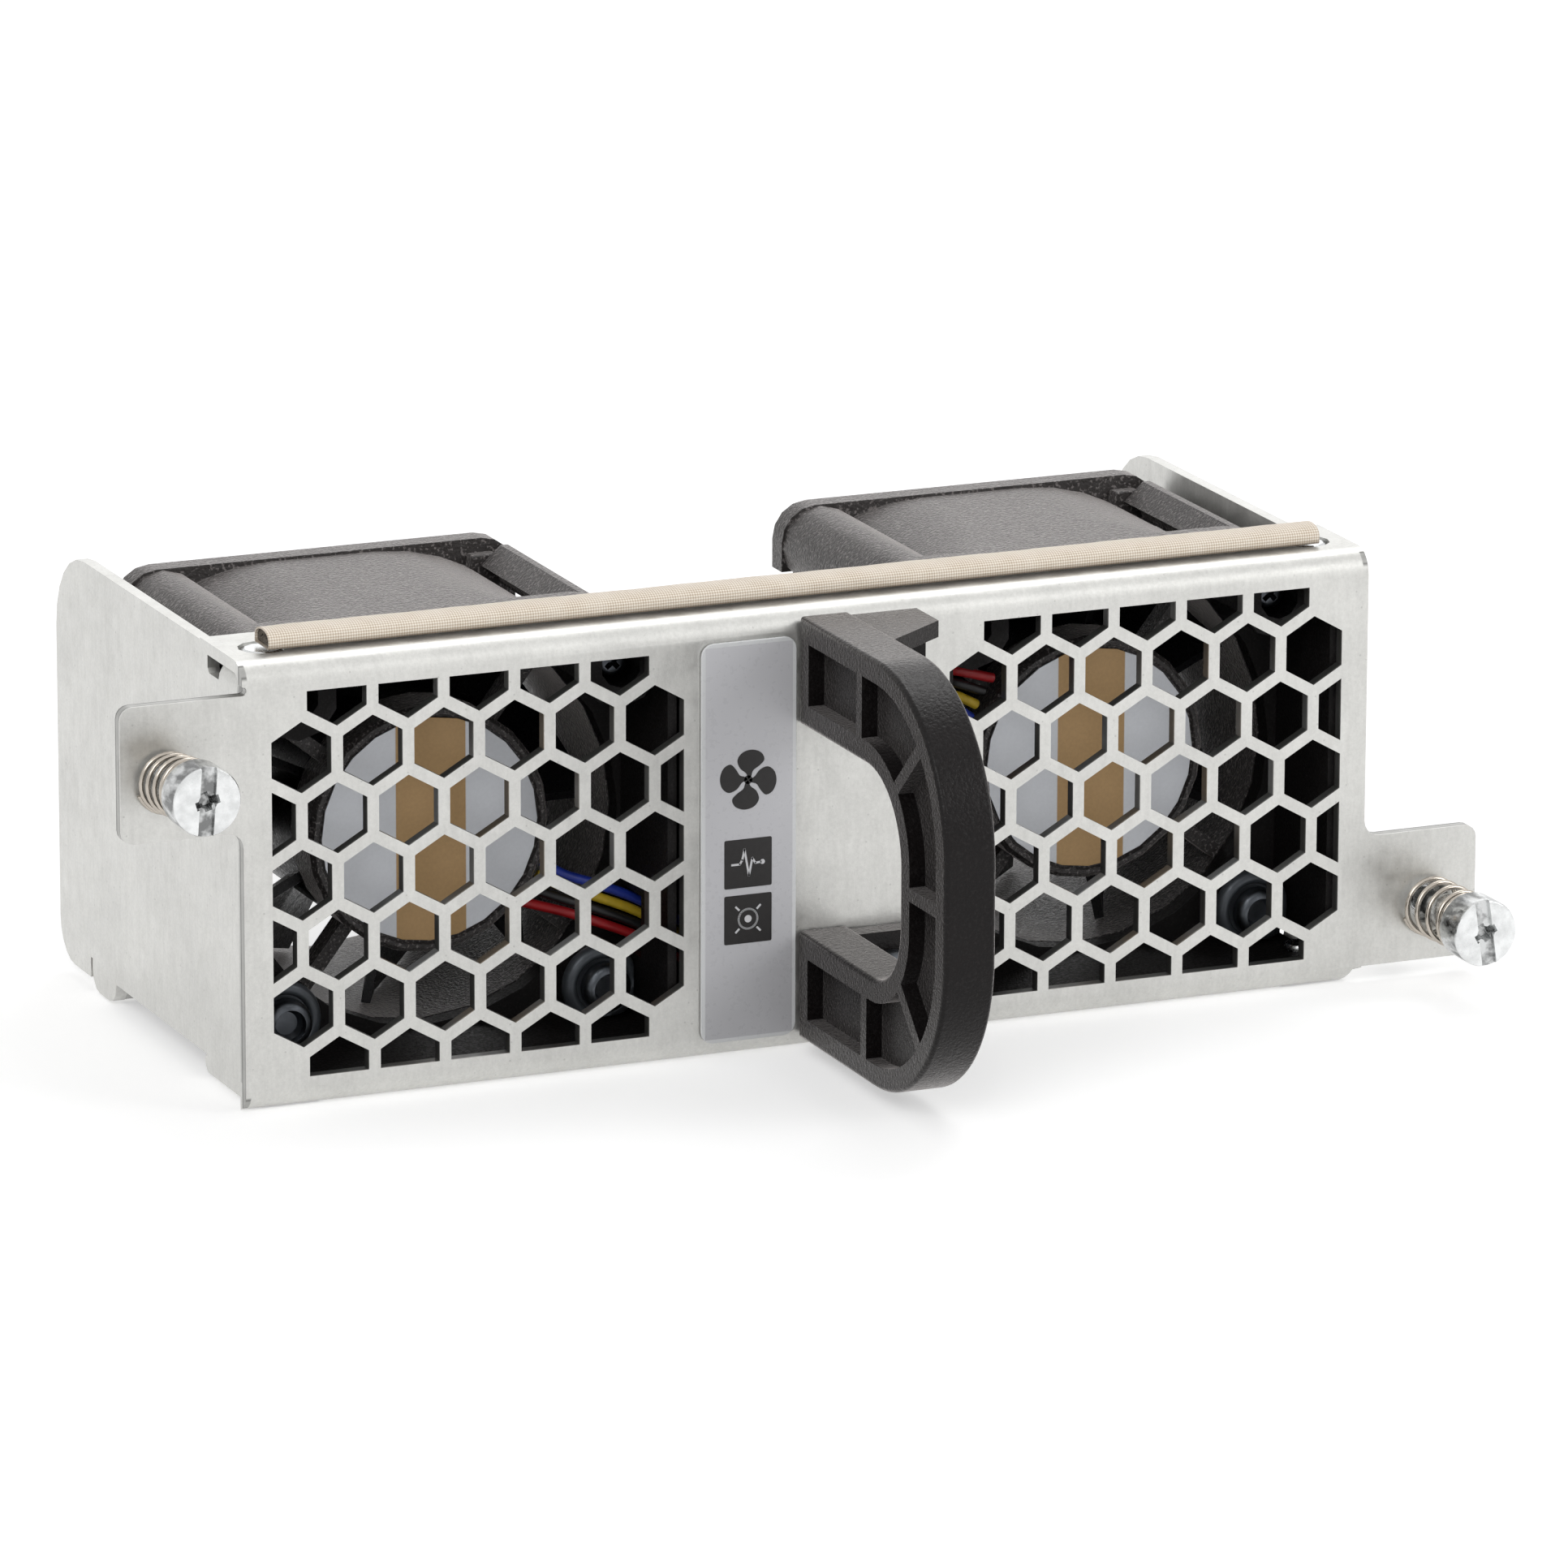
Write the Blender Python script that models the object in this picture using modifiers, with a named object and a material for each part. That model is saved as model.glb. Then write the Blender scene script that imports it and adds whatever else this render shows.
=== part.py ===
"""Switch fan tray: a perforated steel front with two 40 mm fans, a D handle and captive screws.

Units are metres. +X runs to the right of the tray's front, +Y from the front to the rear, +Z up.
The pieces are drawn about the centre of the front sheet's outer face, and an empty carries them
all to the part's origin, which is the middle of the tray's footprint at its lowest face.
"""

import math

import bmesh
import bpy
import numpy as np
from mathutils import Matrix, Vector

MM = 0.001

# Overall sheet metal
PANEL_WIDTH = 114.1 * MM
PANEL_HEIGHT = 42.8 * MM
SHEET = 1.2 * MM
BEND_RADIUS = 2.4 * MM
FLANGE_DEPTH = 12.3 * MM
SIDE_DEPTH = 53.5 * MM
SIDE_INSET = 0.85 * MM
SIDE_TOP_DROP = 0.8 * MM
SIDE_FOOT_LIFT = 2.3 * MM
SEAT = 0.3 * MM
SKIN_SEAT = 0.15 * MM

# Hexagonal grilles
FAN_SPACING = 67.8 * MM
HEX_PITCH = 7.0 * MM
HEX_FLATS = 5.85 * MM
HEX_FULL_ROW = 6
HEX_ROWS = 7
GRILLE_CLIP_Z = 18.35 * MM

# Ears and captive screws
EAR_LENGTH = 11.95 * MM
EAR_HEIGHT = 12.9 * MM
EAR_CORNER = 1.2 * MM
LEFT_EAR_DROP = 2.9 * MM
RIGHT_EAR_LIFT = 1.7 * MM
SCREW_OUT = 7.15 * MM
LEFT_SCREW_DROP = 6.8 * MM
RIGHT_SCREW_DROP = 7.3 * MM
SCREW_HEAD_R = 3.25 * MM
SCREW_HEAD_LENGTH = 3.5 * MM
SCREW_SHOULDER_R = 1.8 * MM
SCREW_THREAD_R = 1.45 * MM
SCREW_NECK_R = 1.2 * MM
SCREW_CLEARANCE = 0.3 * MM
SPRING_WIRE_R = 0.25 * MM
SPRING_TURNS = 5
CLIP_THICKNESS = 0.8 * MM

# Fans
FAN_SIZE = 40.0 * MM
FAN_DEPTH = 28.0 * MM
FAN_FRONT = 15.4 * MM
FAN_RAISE = 0.3 * MM
FAN_HOLE_INSET = 4.0 * MM
FAN_RIM = 0.9 * MM
FAN_BODY_FLAT = 5.4 * MM
FAN_FLARE_FLAT = 8.5 * MM
FAN_BODY_IN = 4.7 * MM
FAN_BODY_DROP = 2.8 * MM
FAN_FLAT_DROP = 0.3 * MM
FAN_FLANGE_FRONT = 2.9 * MM
FAN_FLANGE_REAR = 2.4 * MM
FAN_CORNER = 3.5 * MM
FAN_HUB_R = 12.0 * MM
FAN_HUB_PROUD = 2.8 * MM
FAN_STRUTS = 4
BLADES = 7
BLADE_TIP_GAP = 0.5 * MM
BLADE_THICKNESS = 0.9 * MM
HUB_LABEL_R = 10.8 * MM

# Black duct frame between the front sheet and the fans
DUCT_WALL = 0.9 * MM
DUCT_FRONT = 1.5 * MM
BULKHEAD = 2.0 * MM
BOSS_R = 3.9 * MM
LOWER_BOSS_FRONT = 10.2 * MM
UPPER_BOSS_FRONT = 4.6 * MM
LOWER_HEAD_R = 2.4 * MM
UPPER_HEAD_R = 1.7 * MM

# Handle
HANDLE_LEFT = -2.0 * MM
HANDLE_THICKNESS = 5.1 * MM
HANDLE_TOP = 20.7 * MM
HANDLE_BOTTOM = -20.0 * MM
HANDLE_REACH = 34.0 * MM
HANDLE_LEG = 10.3 * MM
HANDLE_GRIP = 10.3 * MM
HANDLE_OUTER_R = 16.0 * MM
HANDLE_INNER_TOP_R = 8.0 * MM
HANDLE_INNER_BOTTOM_R = 6.5 * MM
HANDLE_WALL = 2.2 * MM
HANDLE_RIB = 1.3 * MM
HANDLE_STEPS = 8
HANDLE_POCKET = 1.6 * MM
LUG_WIDTH = 6.8 * MM
LUG_PLATE = 2.2 * MM
LUG_ROOF = 1.6 * MM

# Label strip, light guides and electronics
LABEL_LEFT = -11.9 * MM
LABEL_WIDTH = 9.6 * MM
LABEL_TOP = 18.95 * MM
LABEL_HEIGHT = 38.6 * MM
WINDOW = 4.4 * MM
WINDOW_X = -7.2 * MM
WINDOW_Z = (-2.4 * MM, -7.9 * MM)
BOARD_THICKNESS = 1.6 * MM
BOARD_TOP = 13.5 * MM
BOARD_REAR_TOP = 10.0 * MM
BOARD_BOTTOM = -17.0 * MM
BOARD_FRONT = 4.2 * MM
BOARD_REAR = 47.0 * MM
LEAD_R = 0.48 * MM

ROUND = 16
FINE = 24

# Values that follow from the sizes above
HALF_W = PANEL_WIDTH / 2
HALF_H = PANEL_HEIGHT / 2
FLANGE_UNDER = HALF_H - SHEET
SIDE_OUT = HALF_W - SIDE_INSET
SIDE_IN = SIDE_OUT - SHEET
SIDE_TOP = HALF_H - SIDE_TOP_DROP
SIDE_BOTTOM = SIDE_FOOT_LIFT - HALF_H
EAR_REACH = HALF_W + EAR_LENGTH
LEFT_EAR_TOP = HALF_H - LEFT_EAR_DROP
RIGHT_EAR_TOP = RIGHT_EAR_LIFT + EAR_HEIGHT - HALF_H
FAN_X = FAN_SPACING / 2
FAN_HALF = FAN_SIZE / 2
HOLE = FAN_HALF - FAN_HOLE_INSET
FAN_BORE_R = FAN_HALF - FAN_RIM
BULKHEAD_REAR = FAN_FRONT - SEAT
BULKHEAD_FRONT = BULKHEAD_REAR - BULKHEAD
CENTRE_HALF = FAN_X - FAN_HALF - SEAT
HANDLE_RIGHT = HANDLE_LEFT + HANDLE_THICKNESS
LEFT_SCREW = (-HALF_W - SCREW_OUT, LEFT_EAR_TOP - LEFT_SCREW_DROP)
RIGHT_SCREW = (HALF_W + SCREW_OUT, RIGHT_EAR_TOP - RIGHT_SCREW_DROP)
LEFT_STANDOFF = 10.0 * MM
RIGHT_STANDOFF = 12.0 * MM
HANDLE_SCREW_X = HANDLE_RIGHT + LUG_WIDTH / 2
HANDLE_SCREW_Z = (HANDLE_TOP - HANDLE_LEG / 2 - 0.4 * MM, HANDLE_BOTTOM + HANDLE_LEG / 2 + 0.4 * MM)

for old in list(bpy.data.objects):
    bpy.data.objects.remove(old, do_unlink=True)

parts = bpy.data.collections.new("switch_fan_tray")
cutters = bpy.data.collections.new("cutters")
bpy.context.scene.collection.children.link(parts)
bpy.context.scene.collection.children.link(cutters)


def finish_material(name, colour, roughness, metallic=0.0, alpha=1.0):
    material = bpy.data.materials.new(name)
    material.use_nodes = True
    shader = material.node_tree.nodes["Principled BSDF"]
    shader.inputs["Base Color"].default_value = (*colour, 1.0)
    shader.inputs["Roughness"].default_value = roughness
    shader.inputs["Metallic"].default_value = metallic
    shader.inputs["Alpha"].default_value = alpha
    return material


FINISHES = {
    "galvanised": ((0.72, 0.73, 0.72), 0.45, 0.9),
    "zinc": ((0.80, 0.80, 0.78), 0.25, 1.0),
    "dark_zinc": ((0.18, 0.19, 0.20), 0.35, 0.9),
    "spring_steel": ((0.66, 0.62, 0.56), 0.25, 1.0),
    "black_plastic": ((0.035, 0.033, 0.033), 0.55, 0.0),
    "rotor_plastic": ((0.03, 0.03, 0.032), 0.4, 0.0),
    "conductive_fabric": ((0.66, 0.60, 0.52), 0.6, 0.2),
    "label_film": ((0.62, 0.62, 0.64), 0.35, 0.0),
    "fan_label": ((0.60, 0.61, 0.64), 0.35, 0.0),
    "light_guide": ((0.85, 0.88, 0.90), 0.1, 0.0),
    "circuit_board": ((0.03, 0.20, 0.08), 0.45, 0.0),
    "connector_plastic": ((0.06, 0.06, 0.065), 0.5, 0.0),
    "motor_copper": ((0.72, 0.38, 0.20), 0.35, 0.9),
    "bearing_steel": ((0.55, 0.56, 0.58), 0.2, 1.0),
    "lead_red": ((0.55, 0.02, 0.02), 0.45, 0.0),
    "lead_black": ((0.02, 0.02, 0.02), 0.45, 0.0),
    "lead_yellow": ((0.75, 0.50, 0.02), 0.45, 0.0),
    "lead_blue": ((0.03, 0.05, 0.45), 0.45, 0.0),
}


def material_for(node_name, finish):
    colour, roughness, metallic = FINISHES[finish]
    return finish_material(f"{node_name}_{finish}", colour, roughness, metallic)


origin = bpy.data.objects.new("tray_origin", None)
origin.location = (0, (HANDLE_REACH - SIDE_DEPTH) / 2, HALF_H)
parts.objects.link(origin)


def make_object(name, mesh, collection=cutters):
    obj = bpy.data.objects.new(name, mesh)
    collection.objects.link(obj)
    if collection is cutters:
        obj.hide_render = True
        obj.display_type = "WIRE"
    return obj


def drop(obj):
    mesh = obj.data
    bpy.data.objects.remove(obj, do_unlink=True)
    bpy.data.meshes.remove(mesh)


def mesh_from(builder, name="shape"):
    shape = bmesh.new()
    builder(shape)
    bmesh.ops.recalc_face_normals(shape, faces=shape.faces)
    mesh = bpy.data.meshes.new(name)
    shape.to_mesh(mesh)
    shape.free()
    return mesh


def box(low, high):
    """A box between two corners."""
    def build(shape):
        size = [b - a for a, b in zip(low, high)]
        centre = [(a + b) / 2 for a, b in zip(low, high)]
        matrix = Matrix.Translation(centre) @ Matrix.Diagonal((*size, 1))
        bmesh.ops.create_cube(shape, size=1, matrix=matrix)
    return make_object("box", mesh_from(build))


def rod(centre, r, y0, y1, segments=ROUND, axis="Y", r1=None):
    """A cylinder or cone along an axis; centre gives the two coordinates across it."""
    turn = {"Y": Matrix.Rotation(-math.pi / 2, 4, "X"), "X": Matrix.Rotation(math.pi / 2, 4, "Y"),
            "Z": Matrix.Identity(4)}[axis]
    middle = (y0 + y1) / 2
    place = {"Y": (centre[0], middle, centre[1]), "X": (middle, centre[0], centre[1]),
             "Z": (centre[0], centre[1], middle)}[axis]

    def build(shape):
        bmesh.ops.create_cone(shape, cap_ends=True, segments=segments, radius1=r,
                              radius2=r if r1 is None else r1, depth=y1 - y0,
                              matrix=Matrix.Translation(place) @ turn)
    return make_object("rod", mesh_from(build))


def prism(outline, low, high, axis):
    """An outline of two coordinates pushed along the axis between two planes."""
    lift = {"X": lambda a, b, c: (c, a, b), "Y": lambda a, b, c: (a, c, b), "Z": lambda a, b, c: (a, b, c)}[axis]

    def build(shape):
        ring = [shape.verts.new(lift(a, b, low)) for a, b in outline]
        face = shape.faces.new(ring)
        moved = bmesh.ops.extrude_face_region(shape, geom=[face])["geom"]
        step = Vector(lift(0, 0, high)) - Vector(lift(0, 0, low))
        bmesh.ops.translate(shape, vec=step, verts=[v for v in moved if isinstance(v, bmesh.types.BMVert)])
    return make_object("prism", mesh_from(build))


def merge(pieces):
    """Put separate, unconnected shapes in one object, for use as one cutter."""
    shape = bmesh.new()
    for piece in pieces:
        piece.data.transform(piece.matrix_basis)
        shape.from_mesh(piece.data)
        drop(piece)
    mesh = bpy.data.meshes.new("merged")
    shape.to_mesh(mesh)
    shape.free()
    return make_object("merged", mesh)


def boolean(target, tool, operation):
    """Apply an exact Boolean to the target and remove the tool."""
    modifier = target.modifiers.new("boolean", "BOOLEAN")
    modifier.operation = operation
    modifier.solver = "EXACT"
    modifier.object = tool
    apply_modifiers(target)
    drop(tool)
    return target


def apply_modifiers(obj):
    bpy.context.view_layer.update()
    graph = bpy.context.evaluated_depsgraph_get()
    mesh = bpy.data.meshes.new_from_object(obj.evaluated_get(graph))
    old = obj.data
    obj.modifiers.clear()
    obj.data = mesh
    if isinstance(old, bpy.types.Mesh):
        bpy.data.meshes.remove(old)
    return obj


def union(target, *tools):
    for tool in tools:
        boolean(target, tool, "UNION")
    return target


def cut(target, *tools):
    for tool in tools:
        boolean(target, tool, "DIFFERENCE")
    return target


def bevel(obj, width, segments=2, angle=40):
    modifier = obj.modifiers.new("bevel", "BEVEL")
    modifier.width = width
    modifier.segments = segments
    modifier.limit_method = "ANGLE"
    modifier.angle_limit = math.radians(angle)
    return apply_modifiers(obj)


def weld(obj, distance=0.001 * MM):
    shape = bmesh.new()
    shape.from_mesh(obj.data)
    bmesh.ops.remove_doubles(shape, verts=shape.verts, dist=distance)
    bmesh.ops.dissolve_degenerate(shape, edges=shape.edges, dist=distance)
    shape.to_mesh(obj.data)
    shape.free()
    return obj


def turned(profile, segments=ROUND, name="turned"):
    """A profile of (radius, y) points, closed on itself or on the axis, turned about the Y axis."""
    mesh = bpy.data.meshes.new(name)
    verts = [(r, y, 0) for r, y in profile]
    closed = profile[0][0] > 0
    edges = [(i, i + 1) for i in range(len(verts) - 1)]
    if closed:
        edges.append((len(verts) - 1, 0))
    mesh.from_pydata(verts, edges, [])
    obj = make_object(name, mesh)
    screw = obj.modifiers.new("screw", "SCREW")
    screw.axis = "Y"
    screw.steps = segments
    screw.render_steps = segments
    screw.use_merge_vertices = True
    screw.merge_threshold = 0.0005 * MM
    apply_modifiers(obj)
    shape = bmesh.new()
    shape.from_mesh(obj.data)
    bmesh.ops.remove_doubles(shape, verts=shape.verts, dist=0.0005 * MM)
    bmesh.ops.recalc_face_normals(shape, faces=shape.faces)
    shape.to_mesh(obj.data)
    shape.free()
    return obj


def tube(points, radius, name="tube"):
    """A round wire through the points, as a curve with filled caps made into a mesh."""
    curve = bpy.data.curves.new(name, "CURVE")
    curve.dimensions = "3D"
    curve.bevel_depth = radius
    curve.bevel_resolution = 1
    curve.use_fill_caps = True
    spline = curve.splines.new("POLY")
    spline.points.add(len(points) - 1)
    for point, place in zip(spline.points, points):
        point.co = (*place, 1)
    wire = bpy.data.objects.new(name, curve)
    cutters.objects.link(wire)
    bpy.context.view_layer.update()
    graph = bpy.context.evaluated_depsgraph_get()
    mesh = bpy.data.meshes.new_from_object(wire.evaluated_get(graph))
    obj = make_object(name, mesh)
    bpy.data.objects.remove(wire, do_unlink=True)
    bpy.data.curves.remove(curve)
    return weld(obj, 0.01 * MM)


def smooth_path(knots, count):
    """Points on a smooth curve through the knots (Catmull-Rom)."""
    knots = [Vector(k) for k in knots]
    ends = [2 * knots[0] - knots[1], *knots, 2 * knots[-1] - knots[-2]]
    path = []
    for value in np.linspace(0, len(knots) - 1, count):
        index = min(int(value), len(knots) - 2)
        t = value - index
        a, b, c, d = ends[index:index + 4]
        path.append(0.5 * (2 * b + (c - a) * t + (2 * a - 5 * b + 4 * c - d) * t ** 2
                           + (3 * b - a - 3 * c + d) * t ** 3))
    return path


def arc(centre, r, start, stop, steps):
    """Points on an arc, angles in degrees."""
    return [(centre[0] + r * math.cos(math.radians(a)), centre[1] + r * math.sin(math.radians(a)))
            for a in np.linspace(start, stop, steps + 1)]


def round_box(low, high, r, steps=4):
    """The outline of a rectangle with rounded corners."""
    (x0, y0), (x1, y1) = low, high
    return (arc((x1 - r, y1 - r), r, 0, 90, steps) + arc((x0 + r, y1 - r), r, 90, 180, steps)
            + arc((x0 + r, y0 + r), r, 180, 270, steps) + arc((x1 - r, y0 + r), r, 270, 360, steps))


def mirror_x(obj):
    """A mirrored copy of a finished shape, across the plane X = 0."""
    mesh = obj.data.copy()
    mesh.transform(Matrix.Diagonal((-1, 1, 1, 1)))
    mesh.flip_normals()
    return make_object("mirrored", mesh)


def add(name, obj, finish, place=(0, 0, 0), parent=origin, turn=0.0, smooth=40):
    """Give a finished shape its node name, material and place in the tray."""
    cutters.objects.unlink(obj)
    parts.objects.link(obj)
    obj.name = name
    obj.data.name = name
    obj.hide_render = False
    obj.display_type = "TEXTURED"
    obj.data.materials.clear()
    obj.data.materials.append(material_for(name, finish))
    obj.data.shade_smooth()
    obj.data.set_sharp_from_angle(angle=math.radians(smooth))
    obj.parent = parent
    obj.location = place
    obj.rotation_euler = (0, turn, 0)
    return obj


def copy_of(obj):
    return make_object("copy", obj.data.copy())


# Front sheet: a channel with two grilles, two ears and the holes for what is fixed to it


def channel_outline():
    """The front sheet's section in Y and Z, with a bend above and below."""
    r_out, r_in, steps = BEND_RADIUS, BEND_RADIUS - SHEET, 5
    top = HALF_H - r_out
    outer = arc((r_out, top), r_out, 90, 180, steps) + arc((r_out, -top), r_out, 180, 270, steps)
    inner = arc((r_out, -top), r_in, 270, 180, steps) + arc((r_out, top), r_in, 180, 90, steps)
    return ([(FLANGE_DEPTH, HALF_H)] + outer + [(FLANGE_DEPTH, -HALF_H), (FLANGE_DEPTH, -FLANGE_UNDER)]
            + inner + [(FLANGE_DEPTH, FLANGE_UNDER)])


def hexagon(x, z, flats):
    corner = flats / math.sqrt(3)
    return [(x + corner * math.cos(math.radians(a)), z + corner * math.sin(math.radians(a)))
            for a in range(30, 390, 60)]


def clip_outline(points, limit, index, sign):
    """Keep the part of a convex outline on the inner side of one limit line."""
    kept = []
    for i, point in enumerate(points):
        after = points[(i + 1) % len(points)]
        inside, inside_next = sign * point[index] <= limit, sign * after[index] <= limit
        if inside:
            kept.append(point)
        if inside != inside_next:
            t = (sign * limit - point[index]) / (after[index] - point[index])
            kept.append((point[0] + t * (after[0] - point[0]), point[1] + t * (after[1] - point[1])))
    return kept


def grille_cells(centre_x):
    """The outlines of one grille's cells, clipped straight at its edges."""
    row_pitch = HEX_PITCH * math.sqrt(3) / 2
    side = HEX_PITCH * (HEX_FULL_ROW - 1) / 2 + HEX_FLATS / 2
    outer_row = HEX_ROWS // 2
    for row in range(-outer_row, outer_row + 1):
        full = row % 2 == 0
        if abs(row) == outer_row:
            count = HEX_FULL_ROW - 1
        else:
            count = HEX_FULL_ROW if full else HEX_FULL_ROW + 1
        for i in range(count):
            x = (i - (count - 1) / 2) * HEX_PITCH
            cell = hexagon(x, row * row_pitch, HEX_FLATS)
            for index, sign, limit in ((0, 1, side), (0, -1, side), (1, 1, GRILLE_CLIP_Z), (1, -1, GRILLE_CLIP_Z)):
                cell = clip_outline(cell, limit, index, sign)
            yield [(centre_x + a, b) for a, b in cell]


def front_panel():
    panel = prism(channel_outline(), -HALF_W, HALF_W, "X")
    overlap = 3 * MM
    left = round_box((-EAR_REACH, LEFT_EAR_TOP - EAR_HEIGHT), (-HALF_W + overlap, LEFT_EAR_TOP), EAR_CORNER)
    right = round_box((HALF_W - overlap, RIGHT_EAR_TOP - EAR_HEIGHT), (EAR_REACH, RIGHT_EAR_TOP), EAR_CORNER)
    union(panel, prism(left, 0, SHEET, "Y"), prism(right, 0, SHEET, "Y"))
    for x, z, sx, sz in ((-HALF_W, LEFT_EAR_TOP - EAR_HEIGHT, -1, -1), (HALF_W, RIGHT_EAR_TOP, 1, 1)):
        union(panel, prism(fillet(x, z, sx, sz, 1.6 * MM), 0, SHEET, "Y"))
    cells = [prism(cell, -SHEET, 2 * SHEET, "Y") for x in (-FAN_X, FAN_X) for cell in grille_cells(x)]
    holes = [rod(LEFT_SCREW, SCREW_SHOULDER_R + SCREW_CLEARANCE, -SHEET, 2 * SHEET, ROUND),
             rod(RIGHT_SCREW, SCREW_SHOULDER_R + SCREW_CLEARANCE, -SHEET, 2 * SHEET, ROUND)]
    holes += [rod((HANDLE_SCREW_X, z), 1.8 * MM, -SHEET, 2 * SHEET, 10) for z in HANDLE_SCREW_Z]
    for z in WINDOW_Z:
        holes.append(box((WINDOW_X - WINDOW / 2, -SHEET, z - WINDOW / 2), (WINDOW_X + WINDOW / 2, 2 * SHEET, z + WINDOW / 2)))
    cut(panel, merge(cells + holes))
    relief = 0.4 * MM
    cut(panel, rod((-HALF_W, LEFT_EAR_TOP + relief), relief, -SHEET, 2 * SHEET, 10))
    corner = [(HALF_W - 1.8 * MM, -HALF_H - relief), (HALF_W + relief, -HALF_H - relief),
              (HALF_W + relief, -HALF_H + 1.6 * MM), (HALF_W - 0.9 * MM, -HALF_H + 1.4 * MM)]
    cut(panel, prism(corner, -SHEET, TAB_FRONT, "Y"))
    cut(panel, merge([rod((s * RIVET_X, RIVET_Y), 1.4 * MM, 0, HALF_H + SHEET, 12, "Z") for s in (-1, 1)]))
    over = 1 * MM
    for s in (-1, 1):
        notch = [(s * NOTCH_X, FLANGE_DEPTH + over), (s * (NOTCH_X + over), NOTCH_Y),
                 (s * (HALF_W + over), NOTCH_Y), (s * (HALF_W + over), FLANGE_DEPTH + over)]
        cut(panel, prism(notch, 0, HALF_H + over, "Z"))
        x0, x1 = sorted((s * (SIDE_IN - TAB_LENGTH - SEAT), s * (HALF_W + over)))
        cut(panel, box((x0, TAB_FRONT - SEAT, -HALF_H - over), (x1, FLANGE_DEPTH + over, FOOT_TAB_LOW + BEND_RADIUS + SEAT)))
    sinks = [rod((s * RIVET_X, RIVET_Y), RIVET_HEAD + SKIN_SEAT, HALF_H - RIVET_SINK, HALF_H + RIVET_SINK, 12, "Z") for s in (-1, 1)]
    cut(panel, merge(sinks))
    return panel


def fillet(x, z, sx, sz, r):
    """The outline of a concave fillet in the corner at (x, z), open towards (sx, sz)."""
    inset = 0.4 * MM
    centre = (x + sx * r, z + sz * r)
    start = 180 if sx > 0 else 0
    stop = 270 if sx > 0 and sz > 0 else (-90 if sz > 0 else (90 if sx > 0 else 90))
    curve = arc(centre, r, start, stop, 5)
    return [(x - sx * inset, z - sz * inset), (x - sx * inset, z + sz * r)] + curve + [(x + sx * r, z - sz * inset)]


# Flush rivets that hold the side panels' tabs to the front sheet's flanges

RIVET_X = HALF_W - 4.05 * MM
RIVET_Y = 5.6 * MM
TAB_FRONT = SHEET + SEAT + 0.5 * MM
TAB_REAR = 8.7 * MM
TAB_LENGTH = 5.4 * MM
NOTCH_X = HALF_W - 9.55 * MM
NOTCH_Y = 11.2 * MM
TAB_TOP = FLANGE_UNDER - SEAT
RIVET_HEAD = 2.2 * MM
RIVET_SINK = 0.55 * MM
FOOT_TAB_LOW = 0.05 * MM - HALF_H
FOOT_TAB_REAR = 13.0 * MM


def rivet(outer, inner):
    """A rivet along Z, with its head sunk in the outer face and its tail behind the inner one."""
    head, tail = RIVET_SINK - SKIN_SEAT - 0.05 * MM, 0.5 * MM
    grip_top = outer - RIVET_SINK + SKIN_SEAT
    grip_bottom = inner - SKIN_SEAT
    shank = 1.25 * MM
    profile = [(0, grip_top + head), (RIVET_HEAD * 0.8, grip_top + head), (RIVET_HEAD, grip_top),
               (shank, grip_top), (shank, grip_bottom), (RIVET_HEAD * 0.66, grip_bottom),
               (RIVET_HEAD * 0.6, grip_bottom - tail), (0, grip_bottom - tail)]
    obj = turned(profile, 10, "rivet")
    obj.data.transform(Matrix.Rotation(math.pi / 2, 4, "X"))
    return obj


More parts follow.
